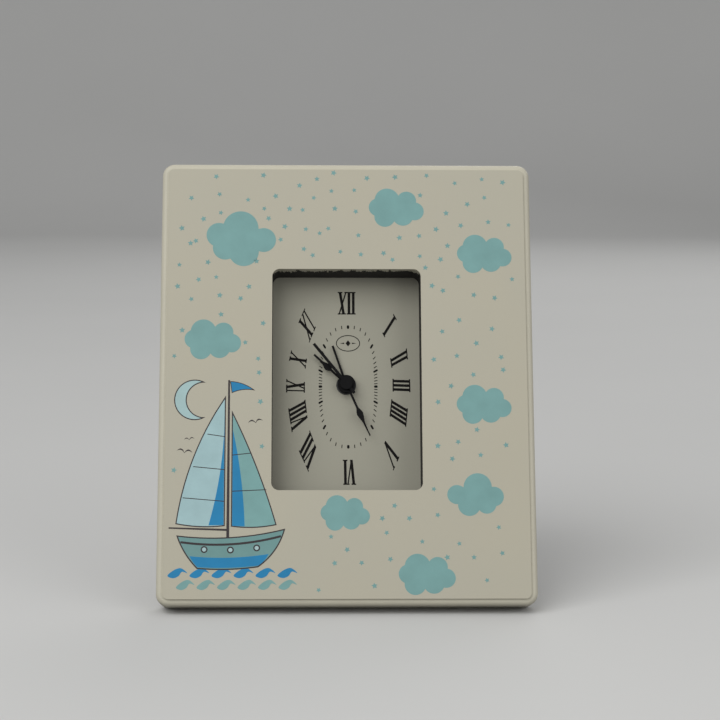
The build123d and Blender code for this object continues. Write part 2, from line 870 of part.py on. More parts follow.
with BuildPart() as third_wheel:
    add_wheel(inside(third_level + wheel_thickness),
              toothed_points(third_teeth, third_module, third_phase), wheel_thickness,
              third_place)
    add_wheel(inside(centre_level + wheel_thickness + pinion_extra),
              toothed_points(third_pinion_teeth, centre_module, 0),
              wheel_thickness + 2 * pinion_extra, third_place)
    add_disc(inside(bridge_back_level), arbor_radius,
             bridge_back_level + pivot_depth - running_clearance, [third_place])
keep(third_wheel, "third_wheel")

with BuildPart() as centre_wheel:
    add_wheel(inside(centre_level + wheel_thickness),
              toothed_points(centre_teeth, centre_module, centre_phase), wheel_thickness)
    add_disc(inside(centre_level + wheel_thickness), hub_radius,
             wheel_thickness + wheel_play / 2)
    add_disc(inside(centre_level + wheel_thickness + overrun), minute_bore, 3 * overrun,
             mode=Mode.SUBTRACT)
keep(centre_wheel, "centre_wheel")

# Wheels and pipes that carry the minute, hour and alarm hands
with BuildPart() as minute_pipe:
    add_disc(inside(cannon_level + wheel_thickness), minute_pipe_radius,
             cannon_level + wheel_thickness + inside_depth - minute_hand_depth)
    add_wheel(inside(cannon_level + wheel_thickness),
              toothed_points(cannon_teeth, cannon_module, 0), wheel_thickness)
    add_disc(inside(cannon_level + wheel_thickness), minute_bore,
             cannon_level + wheel_thickness + inside_depth - minute_hand_depth,
             mode=Mode.SUBTRACT)
keep(minute_pipe, "minute_pipe")

with BuildPart() as minute_work_wheel:
    add_wheel(inside(cannon_level + wheel_thickness),
              toothed_points(work_teeth, cannon_module, work_phase), wheel_thickness,
              work_place)
    add_wheel(inside(cannon_level), toothed_points(work_pinion_teeth, hour_module, 0),
              wheel_pitch + pinion_extra, work_place)
    add_disc(inside(cannon_level + wheel_thickness), stud_radius + running_clearance,
             2 * wheel_pitch, [work_place], Mode.SUBTRACT)
keep(minute_work_wheel, "minute_work_wheel")

with BuildPart() as hour_wheel:
    add_wheel(inside(hour_level + wheel_thickness),
              toothed_points(hour_teeth, hour_module, hour_phase), wheel_thickness)
    add_disc(inside(hour_level + wheel_thickness), hour_pipe_radius,
             hour_level + wheel_thickness + inside_depth - hour_hand_depth)
    add_disc(inside(hour_level + wheel_thickness), hour_bore,
             hour_level + wheel_thickness + inside_depth - hour_hand_depth,
             mode=Mode.SUBTRACT)
keep(hour_wheel, "hour_wheel")

with BuildPart() as alarm_wheel:
    add_wheel(inside(alarm_level + wheel_thickness),
              toothed_points(alarm_teeth, alarm_module, 0), wheel_thickness)
    add_disc(inside(alarm_level + wheel_thickness), alarm_pipe_radius,
             alarm_level + wheel_thickness + inside_depth - alarm_hand_depth)
    add_disc(inside(alarm_level + wheel_thickness), alarm_bore,
             alarm_level + wheel_thickness + inside_depth - alarm_hand_depth,
             mode=Mode.SUBTRACT)
keep(alarm_wheel, "alarm_wheel")


def hand_plane(depth, clock_angle):
    """The plane of a hand's front face, with X along the hand."""
    angle = radians(clock_angle)
    direction = face.x_dir * sin(angle) + face.y_dir * cos(angle)
    return Plane(behind(depth).origin, x_dir=direction, z_dir=face.z_dir)


def add_leaf_hand(plane, length, leaf_width, tip_width, pipe_radius):
    """A stem with a rounded leaf and a slimmer end, on a ring that sits on its pipe."""
    upper = [
        (0, hand_stem_width / 2),
        (leaf_start_share * length, hand_stem_width / 2),
        *((along * length, across * leaf_width / 2) for along, across in leaf_shares),
        (leaf_end_share * length, leaf_neck_width / 2),
        (length, tip_width / 2),
    ]
    lower = [(x, -y) for x, y in reversed(upper)]
    with BuildSketch(plane) as outline:
        with BuildLine():
            Polyline(*upper, *lower, close=True)
        make_face()
    extrude(outline.sketch, amount=-hand_thickness)
    add_disc(plane, hand_ring_radius, -hand_thickness)
    add_disc(plane, pipe_radius + hand_thickness, -hand_ring_depth)
    add_disc(plane, pipe_radius, -2 * hand_ring_depth, mode=Mode.SUBTRACT)


# Hands
with BuildPart() as hour_hand:
    add_leaf_hand(hand_plane(hour_hand_depth, hour_hand_angle), hour_hand_length,
                  hour_leaf_width, hour_tip_width, hour_pipe_radius)
keep(hour_hand, "hour_hand")

with BuildPart() as minute_hand:
    add_leaf_hand(hand_plane(minute_hand_depth, minute_hand_angle), minute_hand_length,
                  minute_leaf_width, minute_tip_width, minute_pipe_radius)
keep(minute_hand, "minute_hand")

with BuildPart() as alarm_hand:
    alarm_hand_plane = hand_plane(alarm_hand_depth, alarm_hand_angle)
    add_block(alarm_hand_plane, alarm_hand_length, hand_stem_width, -hand_thickness,
              (alarm_hand_length / 2, 0))
    add_disc(alarm_hand_plane, hand_ring_radius, -hand_thickness)
    add_disc(alarm_hand_plane, alarm_pipe_radius + hand_thickness, -hand_ring_depth)
    add_disc(alarm_hand_plane, alarm_pipe_radius, -2 * hand_ring_depth, mode=Mode.SUBTRACT)
keep(alarm_hand, "alarm_hand")

with BuildPart() as second_hand:
    second_hand_plane = hand_plane(second_hand_depth, second_hand_angle)
    add_block(second_hand_plane, second_hand_length + second_hand_tail, second_hand_width,
              -hand_thickness, ((second_hand_length - second_hand_tail) / 2, 0))
    add_disc(second_hand_plane.offset(-hand_thickness), second_cap_radius, second_cap_height)
    add_disc(second_hand_plane, 2 * arbor_radius, -hand_ring_depth)
    add_disc(second_hand_plane, arbor_radius, -2 * hand_ring_depth, mode=Mode.SUBTRACT)
keep(second_hand, "second_hand")


def add_shaft(place):
    """A setting shaft from its front pivot to the knob's outer face."""
    add_disc(inside(case_inside + case_rear_wall + knob_float + knob_height), knob_shaft_radius,
             case_inside + case_rear_wall + knob_float + knob_height, [place])
    add_disc(inside(0), knob_pivot_radius, pivot_depth - running_clearance, [place])


def add_knob(place):
    """A ribbed knob with a shallow dish in its end, pushed on its shaft."""
    knob_plane = inside(case_inside + case_rear_wall + knob_float + knob_height)
    add_wheel(knob_plane, knob_points(), knob_height, place)
    add_disc(knob_plane, knob_dish_share * knob_radius, knob_dish_depth, [place], Mode.SUBTRACT)
    add_disc(knob_plane, 2 * knob_shaft_radius, knob_dish_depth, [place])
    add_disc(knob_plane, knob_shaft_radius, knob_height, [place], Mode.SUBTRACT)


def knob_points():
    """The ribbed outline of a knob."""
    points = []
    for number in range(2 * knob_ribs):
        angle = pi * number / knob_ribs
        radius = knob_radius - (knob_rib_height if number % 2 else 0)
        points.append((radius * cos(angle), radius * sin(angle)))
    return points


# Setting shafts and knobs
with BuildPart() as time_set_shaft:
    add_shaft(time_knob_place)
    add_wheel(inside(cannon_level + wheel_thickness + pinion_extra),
              toothed_points(time_knob_teeth, cannon_module, time_knob_phase),
              wheel_thickness + 2 * pinion_extra, time_knob_place)
keep(time_set_shaft, "time_set_shaft")

with BuildPart() as time_set_knob:
    add_knob(time_knob_place)
keep(time_set_knob, "time_set_knob")

with BuildPart() as alarm_set_shaft:
    add_shaft(alarm_knob_place)
    add_wheel(inside(alarm_level + wheel_thickness),
              toothed_points(alarm_knob_teeth, alarm_module, alarm_knob_phase),
              wheel_thickness, alarm_knob_place)
keep(alarm_set_shaft, "alarm_set_shaft")

with BuildPart() as alarm_set_knob:
    add_knob(alarm_knob_place)
keep(alarm_set_knob, "alarm_set_knob")

# Circuit board with its sealed chip, crystal, buzzer and alarm switch
with BuildPart() as circuit_board:
    add_block(inside(circuit_level + circuit_thickness), circuit_width, circuit_height,
              circuit_thickness, circuit_place)
    chip_plane = inside(circuit_level + circuit_thickness)
    with BuildSketch(chip_plane) as chip:
        with Locations(circuit_place):
            Circle(chip_radius)
    extrude(chip.sketch, amount=-chip_height, taper=2 * head_taper_angle)
keep(circuit_board, "circuit_board")

crystal_start = circuit_place[0] + chip_radius + crystal_radius
with BuildPart() as quartz_crystal:
    crystal_plane = side_plane(
        crystal_start, circuit_place[1],
        inside_depth + circuit_level + circuit_thickness + crystal_radius,
    )
    add_disc(crystal_plane, crystal_radius, crystal_length)
keep(quartz_crystal, "quartz_crystal")

with BuildPart() as buzzer:
    add_disc(inside(case_inside), buzzer_radius, buzzer_height, [buzzer_place])
    add_disc(inside(case_inside - buzzer_height), buzzer_radius - buzzer_rim,
             -buzzer_rim, [buzzer_place], Mode.SUBTRACT)
    add_disc(inside(case_inside), sound_hole_circle + sound_hole_radius, buzzer_rim,
             [buzzer_place], Mode.SUBTRACT)
keep(buzzer, "buzzer")

with BuildPart() as alarm_switch_slider:
    flange_length = switch_length + 2 * switch_flange
    add_block(inside(case_inside - switch_gap), flange_length,
              switch_width + 2 * switch_flange, switch_flange_thickness, switch_place)
    add_block(inside(case_inside + case_rear_wall + switch_rise), switch_length, switch_width,
              case_rear_wall + switch_rise + switch_gap, switch_place)
keep(alarm_switch_slider, "alarm_switch_slider")

# Battery between its two contacts
battery_end = inner_right - contact_thickness
battery_level = case_inside / 2
battery_plane = side_plane(battery_end - battery_length, bay_middle, inside_depth + battery_level)
with BuildPart() as battery:
    body_length = battery_length - battery_nub_length
    add_disc(battery_plane, battery_radius, body_length)
    fillet(battery.edges().filter_by(GeomType.CIRCLE), battery_edge_round)
    add_disc(battery_plane.offset(body_length), battery_nub_radius, battery_nub_length)
keep(battery, "battery")

with BuildPart() as battery_plate_contact:
    add_block(side_plane(battery_end, bay_middle, inside_depth + battery_level), contact_width,
              contact_width, contact_thickness)
keep(battery_plate_contact, "battery_plate_contact")

battery_start = battery_end - battery_length
contact_half = contact_width / 2
leaf_left = -inner_right + contact_thickness / 2
leaf_right = battery_start - contact_thickness / 2 - spring_gap
leaf_plane = Plane(
    face.from_local_coords((0, bay_middle - contact_half, -inside_depth - battery_level)),
    x_dir=face.x_dir,
    z_dir=face.y_dir,
)
with BuildPart() as battery_spring_contact:
    with BuildSketch(leaf_plane):
        with BuildLine():
            Polyline(
                (leaf_left, -contact_half),
                (leaf_left, contact_half),
                (leaf_right, 0),
                ((leaf_left + leaf_right) / 2, -contact_half),
            )
        trace(line_width=contact_thickness)
    extrude(amount=contact_width)
keep(battery_spring_contact, "battery_spring_contact")

# Wire stand: pivots in two brackets, arms and a foot bar with a rubber sleeve
barrel_outer = bracket_inner + barrel_width
clip_outer = barrel_outer + clip_gap + clip_thickness
wire_end = clip_outer + wire_end_length
with BuildPart() as stand_wire:
    with BuildLine(stand_plane) as wire_route:
        FilletPolyline(
            (-wire_end, 0),
            (-stand_half_width, 0),
            (-stand_half_width, -stand_length),
            (stand_half_width, -stand_length),
            (stand_half_width, 0),
            (wire_end, 0),
            radius=(pivot_bend_radius, foot_bend_radius, foot_bend_radius, pivot_bend_radius),
        )
    with BuildSketch(Plane(origin=wire_route.line @ 0, z_dir=wire_route.line % 0)):
        Circle(wire_radius)
    sweep()
keep(stand_wire, "stand_wire")

foot_point = stand_plane.from_local_coords((-sleeve_length / 2, -stand_length, 0))
with BuildPart() as stand_foot_sleeve:
    sleeve_plane = Plane(foot_point, x_dir=(0, 1, 0), z_dir=(1, 0, 0))
    add_disc(sleeve_plane, sleeve_radius, sleeve_length)
    add_disc(sleeve_plane, wire_radius, sleeve_length, mode=Mode.SUBTRACT)
    split(bisect_by=Plane.XY, keep=Keep.TOP)
keep(stand_foot_sleeve, "stand_foot_sleeve")

with BuildPart() as stand_end_clips:
    for side in (-1, 1):
        clip_plane = side_plane(side * (barrel_outer + clip_gap), hinge_rise_up, hinge_depth)
        add_disc(clip_plane, clip_radius, side * clip_thickness)
        add_disc(clip_plane, wire_radius, side * clip_thickness, mode=Mode.SUBTRACT)
keep(stand_end_clips, "stand_end_clips")

# Hinge brackets: a screwed plate, a barrel round the wire and a lug that stops the arm
arm_swing = radians(board_lean + stand_angle)
arm_along = (-cos(arm_swing), -sin(arm_swing))
arm_across = (sin(arm_swing), -cos(arm_swing))


def stop_point(along, across):
    """A place beside the opened arm, seen from the side, measured from the pivot."""
    return (
        along * arm_along[0] + across * arm_across[0],
        along * arm_along[1] + across * arm_across[1],
    )


stop_near = wire_radius + stop_gap
stop_far = stop_near + stop_thickness
stop_end = stop_start + stop_length
stop_inner = stand_half_width - wire_radius


def add_bracket(side):
    """One bracket; side is -1 on the viewer's left and 1 on the right."""
    add_block(
        behind(board_thickness + bracket_thickness), bracket_width, bracket_height,
        bracket_thickness, (side * bracket_across, hinge_rise_up), bracket_corner_radius,
    )
    barrel_plane = side_plane(side * bracket_inner, hinge_rise_up, hinge_depth)
    with BuildSketch(barrel_plane) as barrel:
        Circle(barrel_radius)
        with Locations((0, hinge_rise / 2)):
            Rectangle(2 * barrel_radius, hinge_rise)
    extrude(barrel.sketch, amount=side * barrel_width)
    lug_plane = side_plane(side * stop_inner, hinge_rise_up, hinge_depth)
    with BuildSketch(lug_plane) as lug:
        with BuildLine():
            Polyline(
                stop_point(0, stop_near),
                stop_point(stop_end, stop_near),
                stop_point(stop_end, stop_far),
                stop_point(0, stop_far),
                close=True,
            )
        make_face()
    extrude(lug.sketch, amount=side * (bracket_inner + barrel_width - stop_inner))
    add_disc(barrel_plane, wire_radius + running_clearance, side * barrel_width,
             mode=Mode.SUBTRACT)
    add_disc(
        behind(board_thickness + bracket_thickness), ear_hole, bracket_thickness,
        [place for place in bracket_screw_places if place[0] * side > 0], Mode.SUBTRACT,
    )


with BuildPart() as stand_bracket_left:
    add_bracket(-1)
keep(stand_bracket_left, "stand_bracket_left")

with BuildPart() as stand_bracket_right:
    add_bracket(1)
keep(stand_bracket_right, "stand_bracket_right")

with BuildPart() as bracket_screws:
    add_screws(behind(board_thickness + bracket_thickness), wood_screw, bracket_screw_places)
keep(bracket_screws, "bracket_screws")

print("pieces", len(made), "stand length", round(stand_length, 2), "hinge", hinge_point)
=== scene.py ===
"""Finishes, prints and small mouldings of a leaning photo frame clock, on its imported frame."""
import json
import random
from math import atan2, cos, pi, radians, sin

import bpy
from bpy.props import FloatProperty, FloatVectorProperty, PointerProperty
from mathutils import Matrix, Vector


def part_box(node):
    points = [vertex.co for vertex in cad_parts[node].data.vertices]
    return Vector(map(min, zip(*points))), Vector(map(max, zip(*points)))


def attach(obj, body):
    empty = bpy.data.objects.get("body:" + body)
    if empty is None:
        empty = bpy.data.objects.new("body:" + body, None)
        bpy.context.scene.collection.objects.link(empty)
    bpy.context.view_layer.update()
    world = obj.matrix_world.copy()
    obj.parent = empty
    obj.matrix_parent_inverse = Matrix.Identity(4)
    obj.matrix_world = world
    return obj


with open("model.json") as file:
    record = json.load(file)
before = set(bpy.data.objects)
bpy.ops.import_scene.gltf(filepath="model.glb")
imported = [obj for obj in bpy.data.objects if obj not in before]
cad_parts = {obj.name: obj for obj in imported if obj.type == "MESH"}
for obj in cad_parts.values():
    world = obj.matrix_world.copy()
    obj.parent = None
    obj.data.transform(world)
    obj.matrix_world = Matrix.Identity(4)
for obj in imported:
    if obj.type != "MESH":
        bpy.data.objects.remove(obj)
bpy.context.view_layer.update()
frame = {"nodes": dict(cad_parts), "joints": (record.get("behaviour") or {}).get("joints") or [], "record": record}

bl_info = {
    "name": "Photo Frame Clock",
    "version": (1, 0, 0),
    "blender": (4, 5, 0),
    "location": "View3D > Sidebar > Clock",
    "description": "Dresses the leaning photo frame clock and lights it in a plain studio",
    "category": "Object",
}

# Outlines are drawn in millimetres on a flat sheet, then reduced and laid on the clock
MILLIMETRE = 0.001

# The board's own axes: across it, up it and out of its front, from the hands' axis on its face
BOARD_THICKNESS = 0.015
HANDS_JOINT = next(joint for joint in frame["joints"] if joint["name"] == "second_hand_turn")
OUT = -Vector(HANDS_JOINT["axis"]).normalized()
UP = OUT.cross(Vector((1, 0, 0)))
FACE_CENTRE = Vector(HANDS_JOINT["pos_m"]) + OUT * BOARD_THICKNESS
BOARD_LEAN = atan2(UP.y, UP.z)

# The window's half sizes, a hair outside its walls, and how far up its top wall begins
WINDOW_HALF_WIDTH, WINDOW_HALF_HEIGHT = 0.03015, 0.04515
TOP_WALL_FROM = 0.0435

# In millimetres: corners nearer than this merge where strokes are united, in an order that
# is set by their distances from the sorting place
SLIVER = 0.015
SORTING_PLACE = (-97, -83, -71)

# Shader sockets that a finish may set to one plain value
PLAIN_SOCKETS = {"metallic": "Metallic", "specular": "Specular IOR Level"}

# The discs that make up each shape of cloud: across, up and radius, from the cloud's middle
CLOUD_SHAPES = {
    "wide": ((-0.1, 4.2, 7.2), (-8.9, 1.5, 5.0), (9.2, -0.6, 5.0), (-6.3, -3.8, 5.0),
             (1.2, -5.4, 6.1)),
    "double": ((-3.7, 2.9, 5.1), (4.3, 2.7, 4.0), (-7.4, 0.0, 3.8), (-4.6, -4.0, 4.3),
               (2.8, -3.5, 4.3), (7.6, -1.7, 3.8)),
    "domed": ((0.8, 3.1, 5.6), (-7.5, 0.2, 3.8), (7.2, -0.6, 3.9), (-2.6, -3.8, 4.5),
              (4.3, -3.6, 3.8)),
}
# Places on the printed sheet, across and up from the hands' axis: the clouds with their shape
# and size, and the stars
CLOUDS = (
    ("wide", -42.8, 57.6, 1.0),
    ("double", -53.8, 16.0, 1.0),
    ("double", 20.2, 70.9, 0.99),
    ("double", 55.8, 51.6, 0.98),
    ("double", 54.7, -10.4, 0.97),
    ("double", -0.9, -53.9, 0.86),
    ("double", 31.2, -78.1, 0.99),
    ("domed", 50.9, -47.0, 1.0),
)
STARS = (
    (-53.0, 83.7), (-33.8, 84.3), (-5.2, 85.4), (-12.0, 82.8), (-19.1, 80.0), (-6.1, 77.7),
    (-51.6, 76.2), (-63.0, 74.6), (-40.0, 73.9), (-28.8, 75.5), (-13.3, 74.8), (-51.0, 68.4),
    (-33.4, 70.2), (-23.1, 70.2), (-17.8, 69.7), (-4.7, 70.3), (-58.0, 65.8), (-31.6, 66.1),
    (-66.7, 61.9), (-25.0, 62.7), (-16.5, 61.6), (-7.4, 61.9), (-10.9, 59.9), (-61.0, 56.6),
    (-63.1, 55.6), (-26.7, 57.2), (-17.3, 53.3), (-13.7, 50.7), (-2.5, 52.2), (-67.5, 46.6),
    (-56.0, 47.7), (-36.4, 48.2), (-59.7, 40.5), (-52.6, 41.5), (-68.1, 37.7), (-39.4, 37.6),
    (-51.1, 34.0), (-62.5, 32.4), (-42.7, 32.7), (-50.5, 26.1), (-33.6, 22.5), (-66.0, 19.6),
    (-40.7, 14.6), (8.4, 83.2), (19.9, 83.7), (32.8, 84.4), (44.3, 81.2), (55.4, 82.9),
    (63.9, 81.6), (3.2, 78.1), (30.1, 76.0), (56.3, 75.1), (49.3, 72.3), (3.8, 69.1),
    (40.6, 68.5), (57.7, 64.8), (66.0, 63.6), (36.4, 61.7), (46.5, 63.3), (4.8, 59.1),
    (21.5, 58.1), (29.5, 58.9), (41.0, 54.8), (5.8, 51.1), (15.0, 51.6), (18.6, 48.9),
    (29.7, 50.4), (38.1, 49.1), (31.9, 45.6), (45.1, 41.9), (67.0, 40.9), (34.5, 38.1),
    (38.9, 36.1), (51.4, 34.3), (59.8, 33.1), (45.3, 23.9), (38.4, 19.2), (58.5, 20.3),
    (52.1, 14.4), (-35.1, 2.3), (44.2, 9.2), (34.9, 7.7), (62.0, 8.7), (62.7, 3.5),
    (50.7, 1.5), (41.7, -3.1), (36.4, -9.6), (51.8, -20.8), (36.1, -27.3), (44.2, -25.7),
    (63.3, -27.0), (53.1, -31.0), (41.8, -32.5), (34.3, -44.6), (18.7, -51.2), (35.7, -54.9),
    (13.8, -56.2), (24.5, -56.2), (-6.4, -63.4), (-0.1, -68.5), (-5.0, -73.8), (-11.3, -84.3),
    (15.5, -61.9), (29.5, -65.4), (59.8, -59.8), (44.1, -66.2), (5.6, -73.7), (16.9, -72.3),
    (39.3, -71.6), (49.8, -71.6), (61.0, -70.0), (10.6, -82.7), (54.8, -80.6), (-69.0, 9.0),
    (-35.5, 8.0), (-34.5, -9.5), (-33.8, -27.5), (-68.5, -37.0),
)

# Numerals: letters, then the first and last corner of their outer ends and of their inner
# ends, in reading order, in millimetres from the middle of the dial's print
NUMERALS = (
    ("XII", (-3.8, 39.6), (3.1, 39.6), (-3.8, 30.1), (3.1, 30.1)),
    ("I", (18.8, 30.4), (20.0, 28.1), (14.1, 22.2), (15.0, 20.5)),
    ("II", (24.1, 15.9), (24.5, 11.5), (17.2, 11.6), (17.7, 7.8)),
    ("III", (25.3, 3.0), (25.4, -2.3), (18.1, 3.2), (18.1, -2.0)),
    ("IIII", (24.3, -9.2), (23.5, -16.7), (17.6, -5.2), (16.8, -12.2)),
    ("V", (20.6, -29.2), (18.4, -34.1), (15.9, -20.3), (13.7, -25.2)),
    ("VI", (2.7, -40.3), (-2.0, -40.3), (2.9, -30.1), (-2.2, -30.1)),
    ("VII", (-16.4, -34.5), (-20.0, -26.6), (-12.5, -26.3), (-15.6, -18.0)),
    ("VIII", (-23.0, -18.4), (-24.4, -9.2), (-16.4, -14.0), (-17.4, -5.4)),
    ("iX", (-25.3, -2.4), (-25.2, 2.9), (-17.6, -2.5), (-17.6, 2.3)),
    ("X", (-24.1, 11.1), (-23.3, 14.8), (-17.3, 7.8), (-16.6, 12.4)),
    ("Xi", (-20.2, 27.0), (-17.8, 32.7), (-15.6, 18.8), (-13.2, 24.7)),
)
# Letters: width in letter units, then strokes from outer to inner end with their weight; the
# small i is the slim stroke beside an X
LETTERS = {
    "I": (1.0, ((0.5, 0.5, "heavy"),)),
    "i": (0.8, ((0.4, 0.4, "light"),)),
    "V": (1.85, ((0.3, 0.95, "heavy"), (1.75, 0.95, "light"))),
    "X": (1.88, ((0.3, 1.15, "heavy"), (1.7, 0.1, "light"))),
}


class PrintSizes(bpy.types.PropertyGroup):
    """Sizes of the prints and of the raised marks."""
    ink: FloatProperty(name="Ink", description="How far the ink stands on its paper",
                       default=0.00003, unit="LENGTH", precision=5)
    star: FloatProperty(name="Star", description="Radius of a small star's points",
                        default=0.0012, unit="LENGTH", precision=5)
    heavy: FloatProperty(name="Heavy stroke", description="Width of a numeral's heavy stroke",
                         default=0.00108, unit="LENGTH", precision=5)
    light: FloatProperty(name="Light stroke", description="Width of a numeral's light stroke",
                         default=0.00054, unit="LENGTH", precision=5)
    track_across: FloatProperty(name="Track across", description="Half width of the minute track",
                                default=0.0113, unit="LENGTH", precision=4)
    track_up: FloatProperty(name="Track up", description="Half height of the minute track",
                            default=0.0248, unit="LENGTH", precision=4)
    raised: FloatProperty(name="Raised marks", description="How far marks stand on the case",
                          default=0.00035, unit="LENGTH", precision=5)
    dial_shift: FloatVectorProperty(name="Dial shift", size=2, subtype="TRANSLATION",
                                    description="How far the dial's print lies off the axis",
                                    default=(0.0008, -0.0006), precision=4)


class PaintColours(bpy.types.PropertyGroup):
    """Colours of the painted and printed surfaces."""
    cream: FloatVectorProperty(name="Cream", subtype="COLOR", size=3,
                               default=(0.472, 0.449, 0.361),
                               description="Paint of the board and ground of its printed sheet")
    teal: FloatVectorProperty(name="Teal", subtype="COLOR", size=3, default=(0.187, 0.362, 0.352),
                              description="Ink of the clouds, stars, jib, hull and pale waves")
    blue: FloatVectorProperty(name="Blue", subtype="COLOR", size=3, default=(0.012, 0.215, 0.440),
                              description="Bright ink of the waves, pennant and shading")
    line: FloatVectorProperty(name="Line", subtype="COLOR", size=3, default=(0.035, 0.028, 0.03),
                              description="Dark ink of the picture's outlines")
    # The dial colour is set darker than the card's own white, as painted shade of the window's recess
    dial: FloatVectorProperty(name="Dial", subtype="COLOR", size=3, default=(0.346, 0.336, 0.272),
                              description="Ground of the dial card")


class StudioSettings(bpy.types.PropertyGroup):
    """Camera, lamps and ground of the plain studio."""
    lens: FloatProperty(name="Lens", description="Focal length of the camera", default=0.095,
                        unit="LENGTH", precision=3)
    yaw: FloatProperty(name="Yaw", description="Turn of the camera to the right",
                       default=radians(1.55), subtype="ANGLE")
    pitch: FloatProperty(name="Pitch", description="Tilt of the camera below level",
                         default=radians(7.69), subtype="ANGLE")
    roll: FloatProperty(name="Roll", description="Turn of the camera about its view",
                        default=radians(0.27), subtype="ANGLE")
    camera_place: FloatVectorProperty(name="Camera place", subtype="TRANSLATION", size=3,
                                      description="Camera, from the hands' axis on the face",
                                      default=(-0.01514, -0.75183, 0.10893), precision=4)
    key_power: FloatProperty(name="Key lamp", description="Power of the large lamp at upper left",
                             default=24.5, min=0.0)
    fill_power: FloatProperty(name="Fill lamp", description="Power of the soft lamp at the right",
                              default=8.0, min=0.0)
    sky: FloatProperty(name="Sky", description="Strength of the even light from all round",
                       default=0.42, min=0.0)
    bounce: FloatProperty(name="Bounce", description="Share of light that the floor throws back",
                          default=0.3, min=0.0, max=1.0, subtype="FACTOR")
    ground: FloatVectorProperty(name="Ground", subtype="COLOR", size=3, default=(0.62, 0.62, 0.61),
                                description="Colour of the floor and backdrop")


# Modelling helpers

def deselect_all():
    """Leaves object mode with nothing selected."""
    if bpy.context.object and bpy.context.object.mode != "OBJECT":
        bpy.ops.object.mode_set(mode="OBJECT")
    bpy.ops.object.select_all(action="DESELECT")


def choose(pieces):
    """Selects pieces, the first one active."""
    deselect_all()
    for piece in pieces:
        piece.select_set(True)
    bpy.context.view_layer.objects.active = pieces[0]


def open_up(piece):
    """Puts a piece in edit mode with all of it selected."""
    choose([piece])
    bpy.ops.object.mode_set(mode="EDIT")
    bpy.ops.mesh.select_all(action="SELECT")


def select_edges(piece, wanted):
    """Selects the edges whose corners are all wanted."""
    for edge in piece.data.edges:
        edge.select = all(wanted(piece.data.vertices[index].co) for index in edge.vertices)


def draw(points):
    """A filled flat outline through points, in millimetres."""
    deselect_all()
    bpy.ops.mesh.primitive_circle_add(vertices=len(points), radius=1, fill_type="NGON")
    piece = bpy.context.object
    for vertex, point in zip(piece.data.vertices, points):
        vertex.co = (point[0], point[1], 0)
    return piece


def draw_disc(across, up, radius):
    """A filled disc, in millimetres."""
    deselect_all()
    bpy.ops.mesh.primitive_circle_add(vertices=32, radius=radius, fill_type="NGON",
                                      location=(across, up, 0))
    bpy.ops.object.transform_apply()
    return bpy.context.object


def line_points(start, end, width, end_width=None):
    """Corners of a straight stroke, its ends square to it."""
    start, end = Vector(start), Vector(end)
    side = Vector((start.y - end.y, end.x - start.x)).normalized() / 2
    end_width = width if end_width is None else end_width
    return (start - side * width, end - side * end_width, end + side * end_width,
            start + side * width)


def smooth_points(points, steps=6):
    """Points on the smooth closed curve that passes through a few given ones."""
    points = [Vector(point) for point in points]
    found = []
    for index, here in enumerate(points):
        before, after, beyond = (points[(index + step) % len(points)] for step in (-1, 1, 2))
        for step in range(steps):
            t = step / steps
            found.append(0.5 * ((2 * here) + (after - before) * t
                                + (2 * before - 5 * here + 4 * after - beyond) * t * t
                                + (3 * here - before - 3 * after + beyond) * t * t * t))
    return found


def bow(start, end, swell, steps=14):
    """Points from a start almost to an end, on a bow that swells to the right of the way."""
    start, end = Vector(start), Vector(end)
    along = end - start
    side = 4 * swell * Vector((along.y, -along.x)).normalized()
    return [start + along * k / steps + side * k * (steps - k) / steps ** 2 for k in range(steps)]


def closed_bows(*corners):
    """A closed outline through corners, each with the swell of the bow that leaves it."""
    points = []
    for index, (x, y, swell) in enumerate(corners):
        following = corners[(index + 1) % len(corners)]
        points += bow((x, y), following[:2], swell)
    return points


def arc_points(centre, radius, first, last, steps):
    """Points round a centre from one angle almost to another."""
    angles = (first + (last - first) * k / steps for k in range(steps))
    return [centre + radius * Vector((cos(angle), sin(angle))) for angle in angles]


def cloud_points(discs, count=240):
    """The outline round a cloud's overlapping discs, found along rays from its middle."""
    points = []
    for index in range(count):
        ray = Vector((cos(2 * pi * index / count), sin(2 * pi * index / count)))
        reaches = []
        for x, y, radius in discs:
            half_chord = radius ** 2 - ray.cross(Vector((x, y))) ** 2
            if half_chord > 0:
                reaches.append(ray.dot(Vector((x, y))) + half_chord ** 0.5)
        points.append(ray * max(reaches))
    return points


def band_points(route, width):
    """The outline of a band of even width along a route."""
    left, right = [], []
    for index, here in enumerate(route):
        before = route[max(index - 1, 0)]
        after = route[min(index + 1, len(route) - 1)]
        along = (after - before).normalized()
        side = Vector((-along.y, along.x)) * width / 2
        left.append(here + side)
        right.append(here - side)
    return left + right[::-1]


def thicken(piece, low, high):
    """Gives a flat piece a body from one height to another."""
    open_up(piece)
    bpy.ops.transform.translate(value=(0, 0, low))
    bpy.ops.mesh.extrude_region_move(TRANSFORM_OT_translate={"value": (0, 0, high - low)})
    bpy.ops.mesh.select_all(action="SELECT")
    bpy.ops.mesh.normals_make_consistent(inside=False)
    bpy.ops.object.mode_set(mode="OBJECT")
    return piece


def rim(piece, width):
    """Insets a flat piece's faces, and gives the band at the edge the second finish."""
    open_up(piece)
    bpy.ops.mesh.inset(thickness=width, use_boundary=True)
    bpy.ops.object.mode_set(mode="OBJECT")
    for face in piece.data.polygons:
        face.material_index = 0 if face.select else 1
    return piece


def join(pieces):
    """Joins pieces into the first one."""
    choose(pieces)
    if len(pieces) > 1:
        bpy.ops.object.join()
    return bpy.context.object


